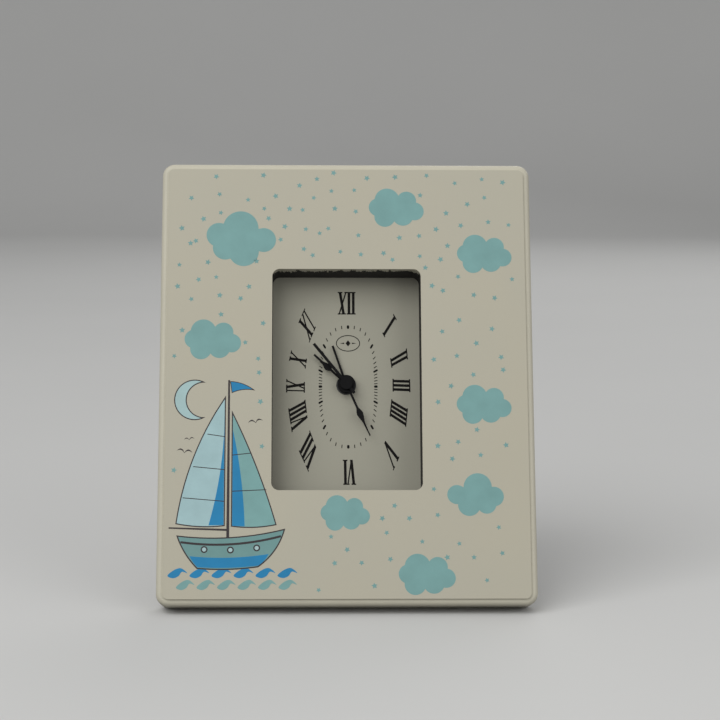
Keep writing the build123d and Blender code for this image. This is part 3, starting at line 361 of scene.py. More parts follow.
def weld(piece):
    """Unites the overlapping solids of one piece, and clears the slivers that this leaves."""
    open_up(piece)
    bpy.ops.mesh.intersect_boolean(operation="UNION", use_self=True, solver="EXACT")
    bpy.ops.mesh.select_all(action="SELECT")
    # Sorting first lets the slivers merge in nearly the same way on every run
    bpy.context.scene.cursor.location = SORTING_PLACE
    bpy.ops.mesh.sort_elements(type="CURSOR_DISTANCE", elements={"VERT", "EDGE", "FACE"})
    bpy.ops.mesh.remove_doubles(threshold=SLIVER)
    bpy.ops.mesh.dissolve_degenerate(threshold=SLIVER)
    bpy.ops.object.mode_set(mode="OBJECT")
    return piece


def copy_of(piece, across, up, turn=0.0, size=1.0):
    """A copy with its own mesh, turned, sized and moved on the sheet."""
    copy = piece.copy()
    copy.data = piece.data.copy()
    bpy.context.collection.objects.link(copy)
    copy.data.transform(Matrix.Translation((across, up, 0)) @ Matrix.Rotation(turn, 4, "Z")
                        @ Matrix.Diagonal((size, size, 1, 1)))
    return copy


def lay(piece, depth=0.0, shift=(0.0, 0.0), turned=False):
    """Reduces a drawing to its real size and lays it a depth behind the board's face.

    A turned one faces backwards, and reads right from behind.
    """
    out = -OUT if turned else OUT
    across = Vector((-1 if turned else 1, 0, 0))
    place = Matrix.Translation(FACE_CENTRE + across * shift[0] + UP * shift[1] - OUT * depth)
    axes = Matrix((across, UP, out)).transposed().to_4x4()
    choose([piece])
    piece.matrix_world = place @ axes @ Matrix.Scale(MILLIMETRE, 4)
    bpy.ops.object.transform_apply(location=True, rotation=True, scale=True)
    return piece


def seen_from_behind(name):
    """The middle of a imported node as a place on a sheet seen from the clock's back."""
    low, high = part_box(name)
    middle = (low + high) / 2 - FACE_CENTRE
    return Vector((-middle.x, middle.dot(UP))) / MILLIMETRE


def rear_of(name):
    """How far behind the board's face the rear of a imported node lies."""
    shown = frame["nodes"][name]
    return max((FACE_CENTRE - shown.matrix_world @ vertex.co).dot(OUT)
               for vertex in shown.data.vertices)


def finish_piece(piece, name, body, slot, *finishes):
    """Names a piece, gives it its finishes and lets it ride on its body."""
    if not piece.data.polygons:
        raise RuntimeError(f"{name} has no faces")
    piece.name = name
    piece.data.name = name
    slots = [face.material_index for face in piece.data.polygons]
    piece.data.materials.clear()
    for finish in finishes:
        piece.data.materials.append(finish)
    for face, index in zip(piece.data.polygons, slots):
        face.material_index = min(index, len(finishes) - 1)
    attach(piece, body)


def print_on_sheet(piece, name, *inks):
    """Lays a drawing on the face sheet as one print."""
    finish_piece(lay(piece), name, "frame", "printed_sheet", *inks)


def print_on_dial(piece, name, ink):
    """Lays a drawing on the dial card as one print."""
    shift = bpy.context.scene.clock_sizes.dial_shift
    finish_piece(lay(piece, BOARD_THICKNESS, shift), name, "frame", "dial_paper", ink)


# Material helpers

def new_finish(name):
    """An empty finish and its node tree."""
    material = bpy.data.materials.new(name)
    material.use_nodes = True
    return material, material.node_tree


def feed(tree, socket, value):
    """Links a socket to another, or sets its value."""
    if isinstance(value, bpy.types.NodeSocket):
        tree.links.new(value, socket)
    elif isinstance(value, (tuple, list)) and len(value) == 3 and socket.type == "RGBA":
        socket.default_value = (*value, 1.0)
    else:
        socket.default_value = value


def node(tree, kind, sockets=(), **settings):
    """Adds a node, with its settings and its sockets by name or number."""
    made = tree.nodes.new(kind)
    for key, value in settings.items():
        setattr(made, key, value)
    for key, value in dict(sockets).items():
        feed(tree, made.inputs[key], value)
    return made


def place_on(tree, turn=(0, 0, 0), stretch=(1, 1, 1), centre=(0, 0, 0)):
    """Places on the piece, from a centre, turned and stretched."""
    spot = node(tree, "ShaderNodeTexCoord").outputs["Object"]
    moved = node(tree, "ShaderNodeMapping",
                 {"Vector": spot, "Location": centre, "Rotation": turn}, vector_type="TEXTURE")
    return node(tree, "ShaderNodeVectorMath", {0: moved.outputs[0], 1: stretch},
                operation="MULTIPLY").outputs[0]


def board_place(tree, stretch=(1, 1, 1)):
    """Places across, up and out of the board's face."""
    return place_on(tree, (pi / 2 - BOARD_LEAN, 0, 0), stretch, FACE_CENTRE)


def noise(tree, place, size, detail=3.0, roughness=0.5):
    """Soft noise whose spots have about the size."""
    return node(tree, "ShaderNodeTexNoise", {"Vector": place, "Scale": 1 / size, "Detail": detail,
                                             "Roughness": roughness}).outputs[0]


def specks(tree, place, size):
    """Round specks: small near their middles."""
    return node(tree, "ShaderNodeTexVoronoi", {"Vector": place, "Scale": 1 / size}).outputs[0]


def ramp(tree, source, *stops):
    """Colours or levels along a source, as pairs of place and colour."""
    made = node(tree, "ShaderNodeValToRGB", {"Fac": source})
    steps = made.color_ramp.elements
    while len(steps) < len(stops):
        steps.new(0.5)
    for step, (at, colour) in zip(steps, stops):
        step.position = at
        step.color = (*(colour if isinstance(colour, (tuple, list)) else (colour,) * 3), 1.0)
    return made.outputs[0]


def blend(tree, amount, first, second):
    """Mixes two colours by an amount."""
    made = node(tree, "ShaderNodeMix", data_type="RGBA")
    for key, value in ((0, amount), (6, first), (7, second)):
        feed(tree, made.inputs[key], value)
    return made.outputs[2]


def sums(tree, kind, first, second=0.0, third=0.0):
    """One step of arithmetic."""
    return node(tree, "ShaderNodeMath", {0: first, 1: second, 2: third}, operation=kind).outputs[0]


def level(tree, source, low, high):
    """Spreads a source, which mostly lies from a quarter to three quarters, over two levels."""
    return node(tree, "ShaderNodeMapRange",
                {0: source, 1: 0.25, 2: 0.75, 3: low, 4: high}).outputs[0]


def tone(colour, factor):
    """A colour made lighter or darker."""
    return tuple(min(part * factor, 1.0) for part in colour)


def shades(tree, source, colour, dark, light):
    """One colour in its tones from dark to light along a source."""
    return ramp(tree, source, (0.3, tone(colour, dark)), (0.7, tone(colour, light)))


def dress(material, colour, rough, *layers, **plain):
    """Sets a finish's colour and roughness, its bumps as sources and depths, and plain values."""
    tree = material.node_tree
    shader = tree.nodes["Principled BSDF"]
    feed(tree, shader.inputs["Base Color"], colour)
    feed(tree, shader.inputs["Roughness"], rough)
    normal = None
    for source, depth in layers:
        sockets = {"Height": source, "Distance": depth, "Strength": 1.0}
        if normal is not None:
            sockets["Normal"] = normal
        normal = node(tree, "ShaderNodeBump", sockets).outputs[0]
    if normal is not None:
        feed(tree, shader.inputs["Normal"], normal)
    for name, value in plain.items():
        shader.inputs[PLAIN_SOCKETS[name]].default_value = value
    return material


def coated(name, colour, other, patch, grain, rough, depth, specular):
    """A finish with soft patches, a fine grain in its colour, gloss and relief."""
    material, tree = new_finish(name)
    place = place_on(tree)
    patches = noise(tree, place, patch, 4.0)
    fine = noise(tree, place, grain, 3.0, 0.6)
    base = ramp(tree, patches, (0.3, colour), (0.75, other))
    grained = ramp(tree, fine, (0.3, tone(colour, 0.75)), (0.7, tone(other, 1.2)))
    return dress(material, blend(tree, 0.35, base, grained), level(tree, fine, *rough),
                 (fine, depth), specular=specular)


def printed_ink(name, colour, rough=0.55, specular=0.35):
    """Ink on paper: slightly uneven, with the paper's tooth showing through."""
    material, tree = new_finish(name)
    place = board_place(tree)
    tooth = noise(tree, place, 0.00018, 3.0, 0.6)
    wash = shades(tree, noise(tree, place, 0.009, 3.0), colour, 0.94, 1.06)
    thin = ramp(tree, tooth, (0.62, 0.0), (0.8, 0.35))
    return dress(material, blend(tree, thin, wash, tone(colour, 1.35)),
                 level(tree, tooth, rough - 0.05, rough + 0.1), (tooth, 0.000006),
                 specular=specular)


def sheet_paper(name, colour):
    """The printed face sheet: smooth matt paper with faint fibres and a slight warm drift."""
    material, tree = new_finish(name)
    drift = noise(tree, board_place(tree), 0.05, 2.0)
    fibres = noise(tree, board_place(tree, (1, 3.2, 1)), 0.00045, 4.0, 0.65)
    warm = (colour[0] * 1.02, colour[1], colour[2] * 0.97)
    ground = ramp(tree, drift, (0.35, tone(colour, 0.985)), (0.65, warm))
    flecks = ramp(tree, fibres, (0.3, tone(colour, 0.93)), (0.72, tone(colour, 1.05)))
    return dress(material, blend(tree, 0.4, ground, flecks), level(tree, fibres, 0.5, 0.62),
                 (fibres, 0.000008), specular=0.35)


def dial_card_paper(name, colour):
    """The dial card: smooth card with a faint tooth, its colour darkened to grey as painted shade of the window's
    recess.
    """
    material, tree = new_finish(name)
    place = board_place(tree)
    tooth = noise(tree, place, 0.00025, 3.0, 0.6)
    drift = noise(tree, place, 0.02, 2.0)
    ground = ramp(tree, drift, (0.35, tone(colour, 0.98)), (0.65, tone(colour, 1.02)))
    return dress(material, blend(tree, 0.3, ground, shades(tree, tooth, colour, 0.95, 1.05)),
                 level(tree, tooth, 0.5, 0.6), (tooth, 0.000004), specular=0.3)


def painted_board(name, colour):
    """Brushed paint on pressed board, dark inside the window, with the paint's ragged lip there."""
    material, tree = new_finish(name)
    place = board_place(tree)
    roller = noise(tree, place, 0.0007, 4.0, 0.6)
    strokes = noise(tree, board_place(tree, (1, 14, 14)), 0.004, 3.0)
    ground = shades(tree, noise(tree, place, 0.03, 3.0), colour, 0.96, 1.03)
    paint = blend(tree, 0.5, ground, shades(tree, strokes, colour, 0.95, 1.05))
    across, up, out = node(tree, "ShaderNodeSeparateXYZ", {0: place}).outputs
    inside = sums(tree, "MULTIPLY", *(
        sums(tree, "LESS_THAN", sums(tree, "ABSOLUTE", way), half)
        for way, half in ((across, WINDOW_HALF_WIDTH), (up, WINDOW_HALF_HEIGHT))))
    # The cream paint runs unevenly over the front edge, further on the top wall
    ragged = noise(tree, board_place(tree, (1, 1, 0.2)), 0.0026, 5.0, 0.85)
    top_wall = sums(tree, "GREATER_THAN", up, TOP_WALL_FROM)
    spread, start = (sums(tree, "MULTIPLY_ADD", top_wall, more, usual)
                     for more, usual in ((0.0145, 0.0052), (-0.0044, -0.0018)))
    reach = sums(tree, "MULTIPLY_ADD", ragged, spread, start)
    bare = sums(tree, "GREATER_THAN", sums(tree, "MULTIPLY", out, -1.0), reach)
    dark = sums(tree, "MULTIPLY", inside, bare)
    stain = ramp(tree, noise(tree, place, 0.0012, 4.0, 0.7),
                 (0.3, (0.003, 0.0025, 0.002)), (0.75, (0.012, 0.010, 0.007)))
    rough = sums(tree, "MULTIPLY_ADD", dark, 0.35, level(tree, roller, 0.4, 0.54))
    return dress(material, blend(tree, dark, paint, stain), rough, (strokes, 0.00003),
                 (roller, 0.00002), specular=0.4)


def hardboard(name):
    """Pressed brown board: matted fibres, darker and lighter flecks."""
    material, tree = new_finish(name)
    fibres = noise(tree, board_place(tree, (1, 2.2, 1)), 0.0011, 6.0, 0.75)
    flecks = noise(tree, board_place(tree, (2.4, 1, 1)), 0.0016, 5.0, 0.8)
    tint = ramp(tree, fibres, (0.25, (0.085, 0.045, 0.022)), (0.5, (0.16, 0.088, 0.045)),
                (0.8, (0.27, 0.165, 0.09)))
    pale = ramp(tree, flecks, (0.55, 0.0), (0.75, 0.6))
    return dress(material, blend(tree, pale, tint, (0.33, 0.21, 0.12)),
                 level(tree, flecks, 0.55, 0.8), (fibres, 0.00006), (flecks, 0.00003))


def moulded(name, colour, rough, depth=0.000012):
    """Moulded plastic with an eroded grain, faint flow marks and a little dust."""
    material, tree = new_finish(name)
    place = place_on(tree)
    flow = shades(tree, noise(tree, place, 0.012, 3.0), colour, 0.85, 1.15)
    dust = ramp(tree, noise(tree, place, 0.0016, 5.0, 0.8), (0.6, 0.0), (0.85, 0.12))
    return dress(material, blend(tree, dust, flow, (0.35, 0.34, 0.32)),
                 level(tree, noise(tree, place, 0.003, 4.0), *rough),
                 (specks(tree, place, 0.00035), depth))


def drawn_metal(name, colour, stretch, rough, depth):
    """Plated metal with fine lines along its working direction and cloudy plating."""
    material, tree = new_finish(name)
    lines = noise(tree, place_on(tree, stretch=stretch), 0.0006, 4.0, 0.6)
    cloud = noise(tree, place_on(tree), 0.004, 4.0, 0.65)
    base = blend(tree, 0.3, shades(tree, cloud, colour, 0.82, 1.08),
                 shades(tree, lines, colour, 0.7, 1.15))
    return dress(material, base, level(tree, lines, *rough), (lines, depth), metallic=1.0)


def wound_wire(name, colour):
    """Fine enamelled wire laid turn by turn up the board."""
    material, tree = new_finish(name)
    place = board_place(tree)
    turns = node(tree, "ShaderNodeTexWave",
                 {"Vector": place, "Scale": 1 / 0.0012, "Distortion": 0.6, "Detail": 1.0},
                 bands_direction="Y").outputs[1]
    cloud = noise(tree, place, 0.002, 3.0)
    # The darker grooves between the turns are painted shade
    groove_shade = ramp(tree, turns, (0.1, tone(colour, 0.4)), (0.6, colour))
    return dress(material, blend(tree, 0.5, shades(tree, cloud, colour, 0.8, 1.1), groove_shade),
                 level(tree, cloud, 0.25, 0.4), (turns, 0.00004), metallic=0.8)


def laminate(name):
    """Green solder mask with copper tracks showing under it."""
    material, tree = new_finish(name)
    place = board_place(tree)
    tracks = node(tree, "ShaderNodeTexBrick",
                  {"Vector": place, "Scale": 420.0, "Mortar Size": 0.12,
                   "Mortar Smooth": 0.2}).outputs[1]
    mask = ramp(tree, noise(tree, place, 0.003, 3.0), (0.3, (0.01, 0.09, 0.035)),
                (0.7, (0.015, 0.13, 0.05)))
    return dress(material, blend(tree, tracks, mask, (0.05, 0.2, 0.07)),
                 level(tree, noise(tree, place, 0.0008, 3.0), 0.25, 0.4), (tracks, 0.00003))


def cell_jacket(name):
    """The cell's plain foil jacket: dark, with a lighter band at its capped end."""
    material, tree = new_finish(name)
    along = node(tree, "ShaderNodeSeparateXYZ", {0: place_on(tree)}).outputs[0]
    capped = sums(tree, "GREATER_THAN", along, 0.014)
    scuffs = noise(tree, place_on(tree, stretch=(0.3, 1, 1)), 0.0012, 5.0, 0.7)
    dark = ramp(tree, scuffs, (0.35, (0.03, 0.03, 0.034)), (0.8, (0.09, 0.09, 0.1)))
    warm = ramp(tree, scuffs, (0.35, (0.42, 0.2, 0.06)), (0.8, (0.6, 0.34, 0.14)))
    return dress(material, blend(tree, capped, dark, warm), level(tree, scuffs, 0.22, 0.45),
                 (scuffs, 0.00001), metallic=0.6)


# Operators

class CLOCK_OT_finishes(bpy.types.Operator):
    """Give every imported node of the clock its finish"""
    bl_idname = "clock.finishes"
    bl_label = "Finish the Packed Nodes"

    def execute(self, context):
        colours = context.scene.clock_colours
        zinc = (0.58, 0.57, 0.54)
        even = (1, 1, 1)
        made = {
            # The board's paint is made a little lighter than its printed sheet, as a painted highlight for the
            # light that falls on its rims
            "painted_board": painted_board("cream_board_paint", tone(colours.cream, 1.14)),
            "printed_sheet": sheet_paper("cream_face_paper", colours.cream),
            "dial_paper": dial_card_paper("dial_card_paper", colours.dial),
            "hardboard": hardboard("brown_hardboard"),
            "hand_black": coated("black_hand_lacquer", (0.0016, 0.0015, 0.0015),
                                 (0.004, 0.004, 0.0045), patch=0.004, grain=0.00025,
                                 rough=(0.5, 0.65), depth=0.000004, specular=0.12),
            "foot_rubber": coated("black_foot_rubber", (0.012, 0.012, 0.012),
                                  (0.028, 0.027, 0.026), patch=0.006, grain=0.0004,
                                  rough=(0.7, 0.9), depth=0.00002, specular=0.3),
            "coil_copper": wound_wire("copper_winding", (0.62, 0.24, 0.09)),
            "circuit_laminate": laminate("green_circuit_laminate"),
            "battery_jacket": cell_jacket("dark_cell_jacket"),
        }
        for slot, name, colour, rough, depth in (
            ("case_plastic", "black_case_plastic", (0.022, 0.022, 0.024), (0.42, 0.6), 0.000012),
            ("knob_plastic", "dark_knob_plastic", (0.03, 0.03, 0.033), (0.24, 0.38), 0.000005),
            ("switch_plastic", "white_switch_plastic", (0.6, 0.59, 0.55), (0.3, 0.45), 0.000004),
            ("wheel_plastic", "white_wheel_plastic", (0.7, 0.69, 0.64), (0.35, 0.5), 0.000003),
            ("plate_plastic", "grey_plate_plastic", (0.09, 0.09, 0.1), (0.4, 0.55), 0.000006),
            ("bobbin_plastic", "cream_bobbin_plastic", (0.6, 0.56, 0.46), (0.4, 0.55), 0.000012),
        ):
            made[slot] = moulded(name, colour, rough, depth)
        for slot, name, colour, stretch, rough, depth in (
            ("arbor_steel", "polished_arbor_steel", (0.62, 0.62, 0.63), even,
             (0.12, 0.25), 0.000005),
            ("screw_steel", "zinc_screw_plating", zinc, even, (0.25, 0.45), 0.00001),
            ("stator_iron", "stamped_stator_iron", (0.42, 0.41, 0.4), (1, 8, 8),
             (0.3, 0.5), 0.000005),
            ("buzzer_brass", "rolled_buzzer_brass", (0.62, 0.45, 0.18), (8, 1, 1),
             (0.2, 0.38), 0.000005),
            ("contact_nickel", "nickel_contact_strip", (0.6, 0.58, 0.54), (1, 6, 6),
             (0.18, 0.35), 0.000005),
            ("stand_wire", "bright_stand_wire", (0.55, 0.55, 0.55), (1, 1, 0.08),
             (0.2, 0.36), 0.000005),
            ("bracket_steel", "zinc_bracket_plating", zinc, (0.06, 1, 1), (0.28, 0.48), 0.000008),
        ):
            made[slot] = drawn_metal(name, colour, stretch, rough, depth)
        for part in frame["record"]["subparts"]:
            shown = frame["nodes"][part["node"]]
            shown.data.materials.clear()
            shown.data.materials.append(made[part["material_slot"]])
        return {"FINISHED"}


class CLOCK_OT_clouds(bpy.types.Operator):
    """Print the clouds on the face sheet"""
    bl_idname = "clock.clouds"
    bl_label = "Print Clouds"

    def execute(self, context):
        ink = context.scene.clock_sizes.ink / MILLIMETRE
        models = {kind: thicken(draw(cloud_points(discs)), -ink, ink)
                  for kind, discs in CLOUD_SHAPES.items()}
        clouds = [copy_of(models[kind], across, up, size=size)
                  for kind, across, up, size in CLOUDS]
        for model in models.values():
            bpy.data.objects.remove(model)
        print_on_sheet(join(clouds), "printed_clouds",
                       printed_ink("teal_cloud_ink", context.scene.clock_colours.teal))
        return {"FINISHED"}


class CLOCK_OT_stars(bpy.types.Operator):
    """Scatter the small stars over the face sheet"""
    bl_idname = "clock.stars"
    bl_label = "Print Stars"

    def execute(self, context):
        sizes = context.scene.clock_sizes
        ink = sizes.ink / MILLIMETRE
        outer = sizes.star / MILLIMETRE
        inner = 0.48 * outer
        points = [(radius * cos(pi / 2 + index * pi / 5), radius * sin(pi / 2 + index * pi / 5))
                  for index, radius in enumerate((outer, inner) * 5)]
        star = thicken(draw(points), -ink, ink)
        chance = random.Random(5)
        copies = [copy_of(star, across, up, chance.uniform(0, 1.2), chance.uniform(0.85, 1.1))
                  for across, up in STARS]
        bpy.data.objects.remove(star)
        print_on_sheet(join(copies), "printed_stars",
                       printed_ink("teal_star_ink", tone(context.scene.clock_colours.teal, 0.95)))
        return {"FINISHED"}


class CLOCK_OT_sailboat(bpy.types.Operator):
    """Print the sailboat at the lower left"""
    bl_idname = "clock.sailboat"
    bl_label = "Print Sailboat"

    def execute(self, context):
        ink = context.scene.clock_sizes.ink / MILLIMETRE
        colours = context.scene.clock_colours
        line_ink = printed_ink("dark_outline_ink", colours.line)
        blue_ink = printed_ink("bright_boat_ink", colours.blue)
        hull = closed_bows((-67.2, -62.8, 2.0), (-24.4, -60.2, -1.7), (-35.0, -75.4, -0.7),
                           (-59.0, -76.0, -0.9))
        mainsail = ([(-48.2, -7.0)] + bow((-48.2, -59.2), (-67.6, -58.4), -0.8)
                    + bow((-67.6, -58.4), (-48.2, -7.0), -3.2)[:-1])
        jib = (bow((-45.8, -13.0), (-27.8, -58.8), -1.1)
               + bow((-27.8, -58.8), (-45.8, -59.4), -0.8) + [(-45.8, -59.4)])
        pennant = (bow((-46.6, -1.2), (-36.6, -5.0), -0.9)
                   + bow((-36.6, -5.0), (-46.6, -6.4), 0.9))
        # From here on, each layer of ink stands a little higher than the one under it
        for points, width, name, fill in (
            (hull, 0.5, "boat_hull", printed_ink("teal_hull_ink", tone(colours.teal, 0.85))),
            (mainsail, 0.45, "boat_mainsail", printed_ink("pale_sail_ink", (0.36, 0.53, 0.55))),
            (jib, 0.45, "boat_jib", printed_ink("light_jib_ink", tone(colours.teal, 1.05))),
            (pennant, 0.3, "boat_pennant", blue_ink),
        ):
            print_on_sheet(thicken(rim(draw(points), width), -ink, 1.4 * ink), name,
                           fill, line_ink)

        # Bright shading down the mast's side of the sails, and a band low on the hull
        shading = [
            draw([(-48.7, -13.5), (-48.7, -58.8)] + bow((-54.6, -58.9), (-48.7, -13.5), 1.6)[:-1]),
            draw(bow((-45.3, -21.0), (-40.4, -59.3), -0.9) + [(-40.4, -59.3), (-45.3, -59.1)]),
            draw(closed_bows((-61.9, -71.0, 1.0), (-30.9, -70.2, -0.4), (-34.9, -74.7, -0.6),
                             (-58.8, -75.3, -0.2))),
        ]
        print_on_sheet(thicken(join(shading), ink, 1.8 * ink), "boat_shading", blue_ink)

        mast = line_points((-47.0, -63.6), (-47.0, -0.8), 1.1, 0.7)
        boom = line_points((-47.0, -60.7), (-70.2, -59.9), 0.8, 0.55)
        seams = [line_points(start, end, 0.32) for start, end in (
            ((-64.9, -48.0), (-48.6, -49.4)), ((-60.9, -35.6), (-48.6, -36.8)),
            ((-55.4, -22.6), (-48.6, -23.6)), ((-45.4, -31.0), (-37.9, -30.2)),
            ((-45.4, -45.4), (-32.0, -44.8)))]
        rail = bow((-65.5, -65.5), (-26.1, -63.2), 2.0) + [Vector((-26.1, -63.2))]
        strokes = [draw(points) for points in (mast, boom, *seams, band_points(rail, 0.85))]
        ports = ((-56.2, -68.4), (-45.9, -68.6), (-35.6, -67.8))
        strokes += [draw_disc(across, up, 1.35) for across, up in ports]
        print_on_sheet(weld(thicken(join(strokes), 1.2 * ink, 2.4 * ink)), "boat_rigging",
                       line_ink)
        panes = [draw_disc(across, up, 0.8) for across, up in ports]
        print_on_sheet(thicken(join(panes), 2 * ink, 2.9 * ink), "boat_portholes",
                       printed_ink("pale_porthole_ink", (0.40, 0.56, 0.57)))
        return {"FINISHED"}


class CLOCK_OT_gulls(bpy.types.Operator):
    """Print the small gulls round the sails"""
    bl_idname = "clock.gulls"
    bl_label = "Print Gulls"

    def execute(self, context):
        ink = context.scene.clock_sizes.ink / MILLIMETRE
        left_tip, right_tip, neck, breast = (-3.0, -0.1), (3.0, -0.1), (0, -0.4), (0, -0.6)
        gull = thicken(draw(closed_bows((*left_tip, -1.25), (*neck, -1.25), (*right_tip, 0.8),
                                        (*breast, 0.8))), -ink, ink)
        copies = [copy_of(gull, *place) for place in (
            (-36.4, -17.6, 0.16, 1.0), (-64.4, -29.6, -0.14, 1.05), (-62.6, -24.6, 0.1, 0.7))]
        bpy.data.objects.remove(gull)
        print_on_sheet(join(copies), "gulls",
                       printed_ink("dark_gull_ink", context.scene.clock_colours.line))
        return {"FINISHED"}


class CLOCK_OT_waves(bpy.types.Operator):
    """Print the waves under the sailboat"""
    bl_idname = "clock.waves"
    bl_label = "Print Waves"

    def execute(self, context):
        ink = context.scene.clock_sizes.ink / MILLIMETRE
        colours = context.scene.clock_colours
        # Round one crest: shares of the way to the next one, and heights
        crest = ((0, 0), (0.3, 2.2), (0.62, 2.9), (0.9, 1.0), (0.66, 1.5), (0.5, -0.2),
                 (0.25, -1.0))
        for name, start, up, pitch, fill in (
            ("bright_waves", -70.4, -78.6, 8.6, printed_ink("bright_wave_ink", colours.blue)),
            ("pale_waves", -67.0, -83.2, 8.0, printed_ink("pale_wave_ink", colours.teal)),
        ):
            lefts = [start + index * pitch for index in range(6)]
            crests = [draw(smooth_points([(left + share * pitch, up + rise)
                                          for share, rise in crest])) for left in lefts]
            print_on_sheet(thicken(join(crests), -ink, ink), name, fill)
        return {"FINISHED"}


class CLOCK_OT_moon(bpy.types.Operator):
    """Print the crescent moon above the sailboat"""
    bl_idname = "clock.moon"
    bl_label = "Print Moon"

    def execute(self, context):
        ink = context.scene.clock_sizes.ink / MILLIMETRE
        colours = context.scene.clock_colours
        centre, opening = Vector((-60.6, -8.8)), 3.8
        outer_radius, inner_radius, outline = 8.2, 7.0, 0.42
        for name, inset, low, high, fill in (
            ("moon_outline", 0.0, -ink, ink, printed_ink("moon_outline_ink", colours.line)),
            ("crescent_moon", outline, 0.5 * ink, 1.6 * ink,
             printed_ink("pale_moon_ink", (0.38, 0.54, 0.54))),
        ):
            outer, inner = outer_radius - inset, inner_radius + inset
            # Where the two circles cross
            across = (opening ** 2 - inner ** 2 + outer ** 2) / (2 * opening)
            up = (outer ** 2 - across ** 2) ** 0.5
            tip, back = atan2(up, across), atan2(up, across - opening)
            points = (arc_points(centre, outer, tip, 2 * pi - tip, 36)
                      + arc_points(centre + Vector((opening, 0)), inner, 2 * pi - back, back, 30))
            print_on_sheet(thicken(draw(points), low, high), name, fill)
        return {"FINISHED"}


class CLOCK_OT_numerals(bpy.types.Operator):
    """Print the stretched Roman numerals on the dial"""
    bl_idname = "clock.numerals"
    bl_label = "Print Numerals"

    def execute(self, context):
        sizes = context.scene.clock_sizes
        ink = sizes.ink / MILLIMETRE
        weights = {"heavy": sizes.heavy / MILLIMETRE, "light": sizes.light / MILLIMETRE}
        serif_height = 0.95 * weights["light"]
        # A serif's reach to each side, in half widths of its stroke, except on an I
        serif_shares = {"heavy": 1.75, "light": 2.2}
        # An I's serif runs past its letter's width by this much of a letter unit
        overlap = 0.03
        numerals = []
        for text, *corners in NUMERALS:
            first_outer, last_outer, first_inner, last_inner = (Vector(spot) for spot in corners)
            total = sum(LETTERS[mark][0] for mark in text)
            # The way along the letters' outer ends, 1, and along their inner ends, -1
            follow = {1: last_outer - first_outer, -1: last_inner - first_inner}
            start = 0.0
            marks = []
            for mark in text:
                width, strokes = LETTERS[mark]
                for outer, inner, weight in strokes:
                    top = first_outer + follow[1] * (start + outer) / total
                    foot = first_inner + follow[-1] * (start + inner) / total
                    along = (top - foot).normalized()
                    ends = []
                    for end, side in ((foot, -1), (top, 1)):
                        step = follow[side].normalized()
                        half = step * weights[weight] / 2 / abs(step.cross(along))
                        ends.append((end, half))
                        # A V's strokes meet at the inner end, without a serif
                        if mark == "V" and side < 0:
                            continue
                        wing = serif_shares[weight] * half
                        if mark in "Ii":
                            wing = follow[side] * (width / 2 + overlap) / total
                        lip = -side * along * serif_height
                        marks.append(draw([end - wing, end + wing, end + wing + lip,
                                           end - wing + lip]))
                    (foot, foot_half), (top, top_half) = ends
                    marks.append(draw([foot - foot_half, foot + foot_half, top + top_half,
                                       top - top_half]))
                start += width
            numerals.append(weld(thicken(join(marks), -ink, ink)))
        print_on_dial(join(numerals), "dial_numerals",
                      printed_ink("black_dial_ink", (0.005, 0.0045, 0.004), 0.6, 0.1))
        return {"FINISHED"}


class CLOCK_OT_minute_track(bpy.types.Operator):
    """Print the minute track and the plain oval on the dial"""
    bl_idname = "clock.minute_track"
    bl_label = "Print Minute Track"

    def execute(self, context):
        sizes = context.scene.clock_sizes
        ink = sizes.ink / MILLIMETRE
        half_across, half_up = sizes.track_across / MILLIMETRE, sizes.track_up / MILLIMETRE
        # 2 would make the track an ellipse, and more fills its corners out
        fullness = 2.7
        fine_line, half_minute_mark = 0.34, 0.7
        marks = []
        for minute in range(60):
            ray = Vector((sin(minute * pi / 30), cos(minute * pi / 30)))
            reach = (abs(ray.x / half_across) ** fullness
                     + abs(ray.y / half_up) ** fullness) ** (-1 / fullness)
            side = Vector((-ray.y, ray.x))
            if minute % 5:
                marks.append(draw(line_points(ray * (reach - half_minute_mark),
                                              ray * (reach + half_minute_mark), fine_line)))
            else:
                # Every five minutes a lozenge with cut ends, stouter at the quarters
                half_length, half_width = (1.0, 0.4) if minute % 15 else (0.72, 0.5)
                marks.append(draw([ray * (reach + place * half_length) + side * across * half_width
                                   for place, across in ((-1, -0.6), (-0.5, -1), (0.6, -1),
                                                         (1, -0.6), (1, 0.6), (0.6, 1),
                                                         (-0.5, 1), (-1, 0.6))]))
        oval_up, oval_across, oval_height, quarter = 18.0, 4.75, 3.25, 16
        ring = [Vector((oval_across * cos(pi / 2 * k / quarter),
                        oval_up + oval_height * sin(pi / 2 * k / quarter)))
                for k in range(4 * quarter + 1)]
        marks.append(draw(band_points(ring, fine_line)))
        marks.append(draw([(-1.0, oval_up), (0.0, oval_up - 1.3), (1.0, oval_up),
                           (0.0, oval_up + 1.3)]))
        for side in (-1, 1):
            marks.append(draw([(side * 1.6, oval_up - 0.3), (side * 3.4, oval_up),
                               (side * 1.6, oval_up + 0.3)]))
        print_on_dial(thicken(join(marks), -ink, ink), "dial_minute_track",
                      printed_ink("dark_track_ink", (0.006, 0.0055, 0.005), 0.6, 0.1))
        return {"FINISHED"}


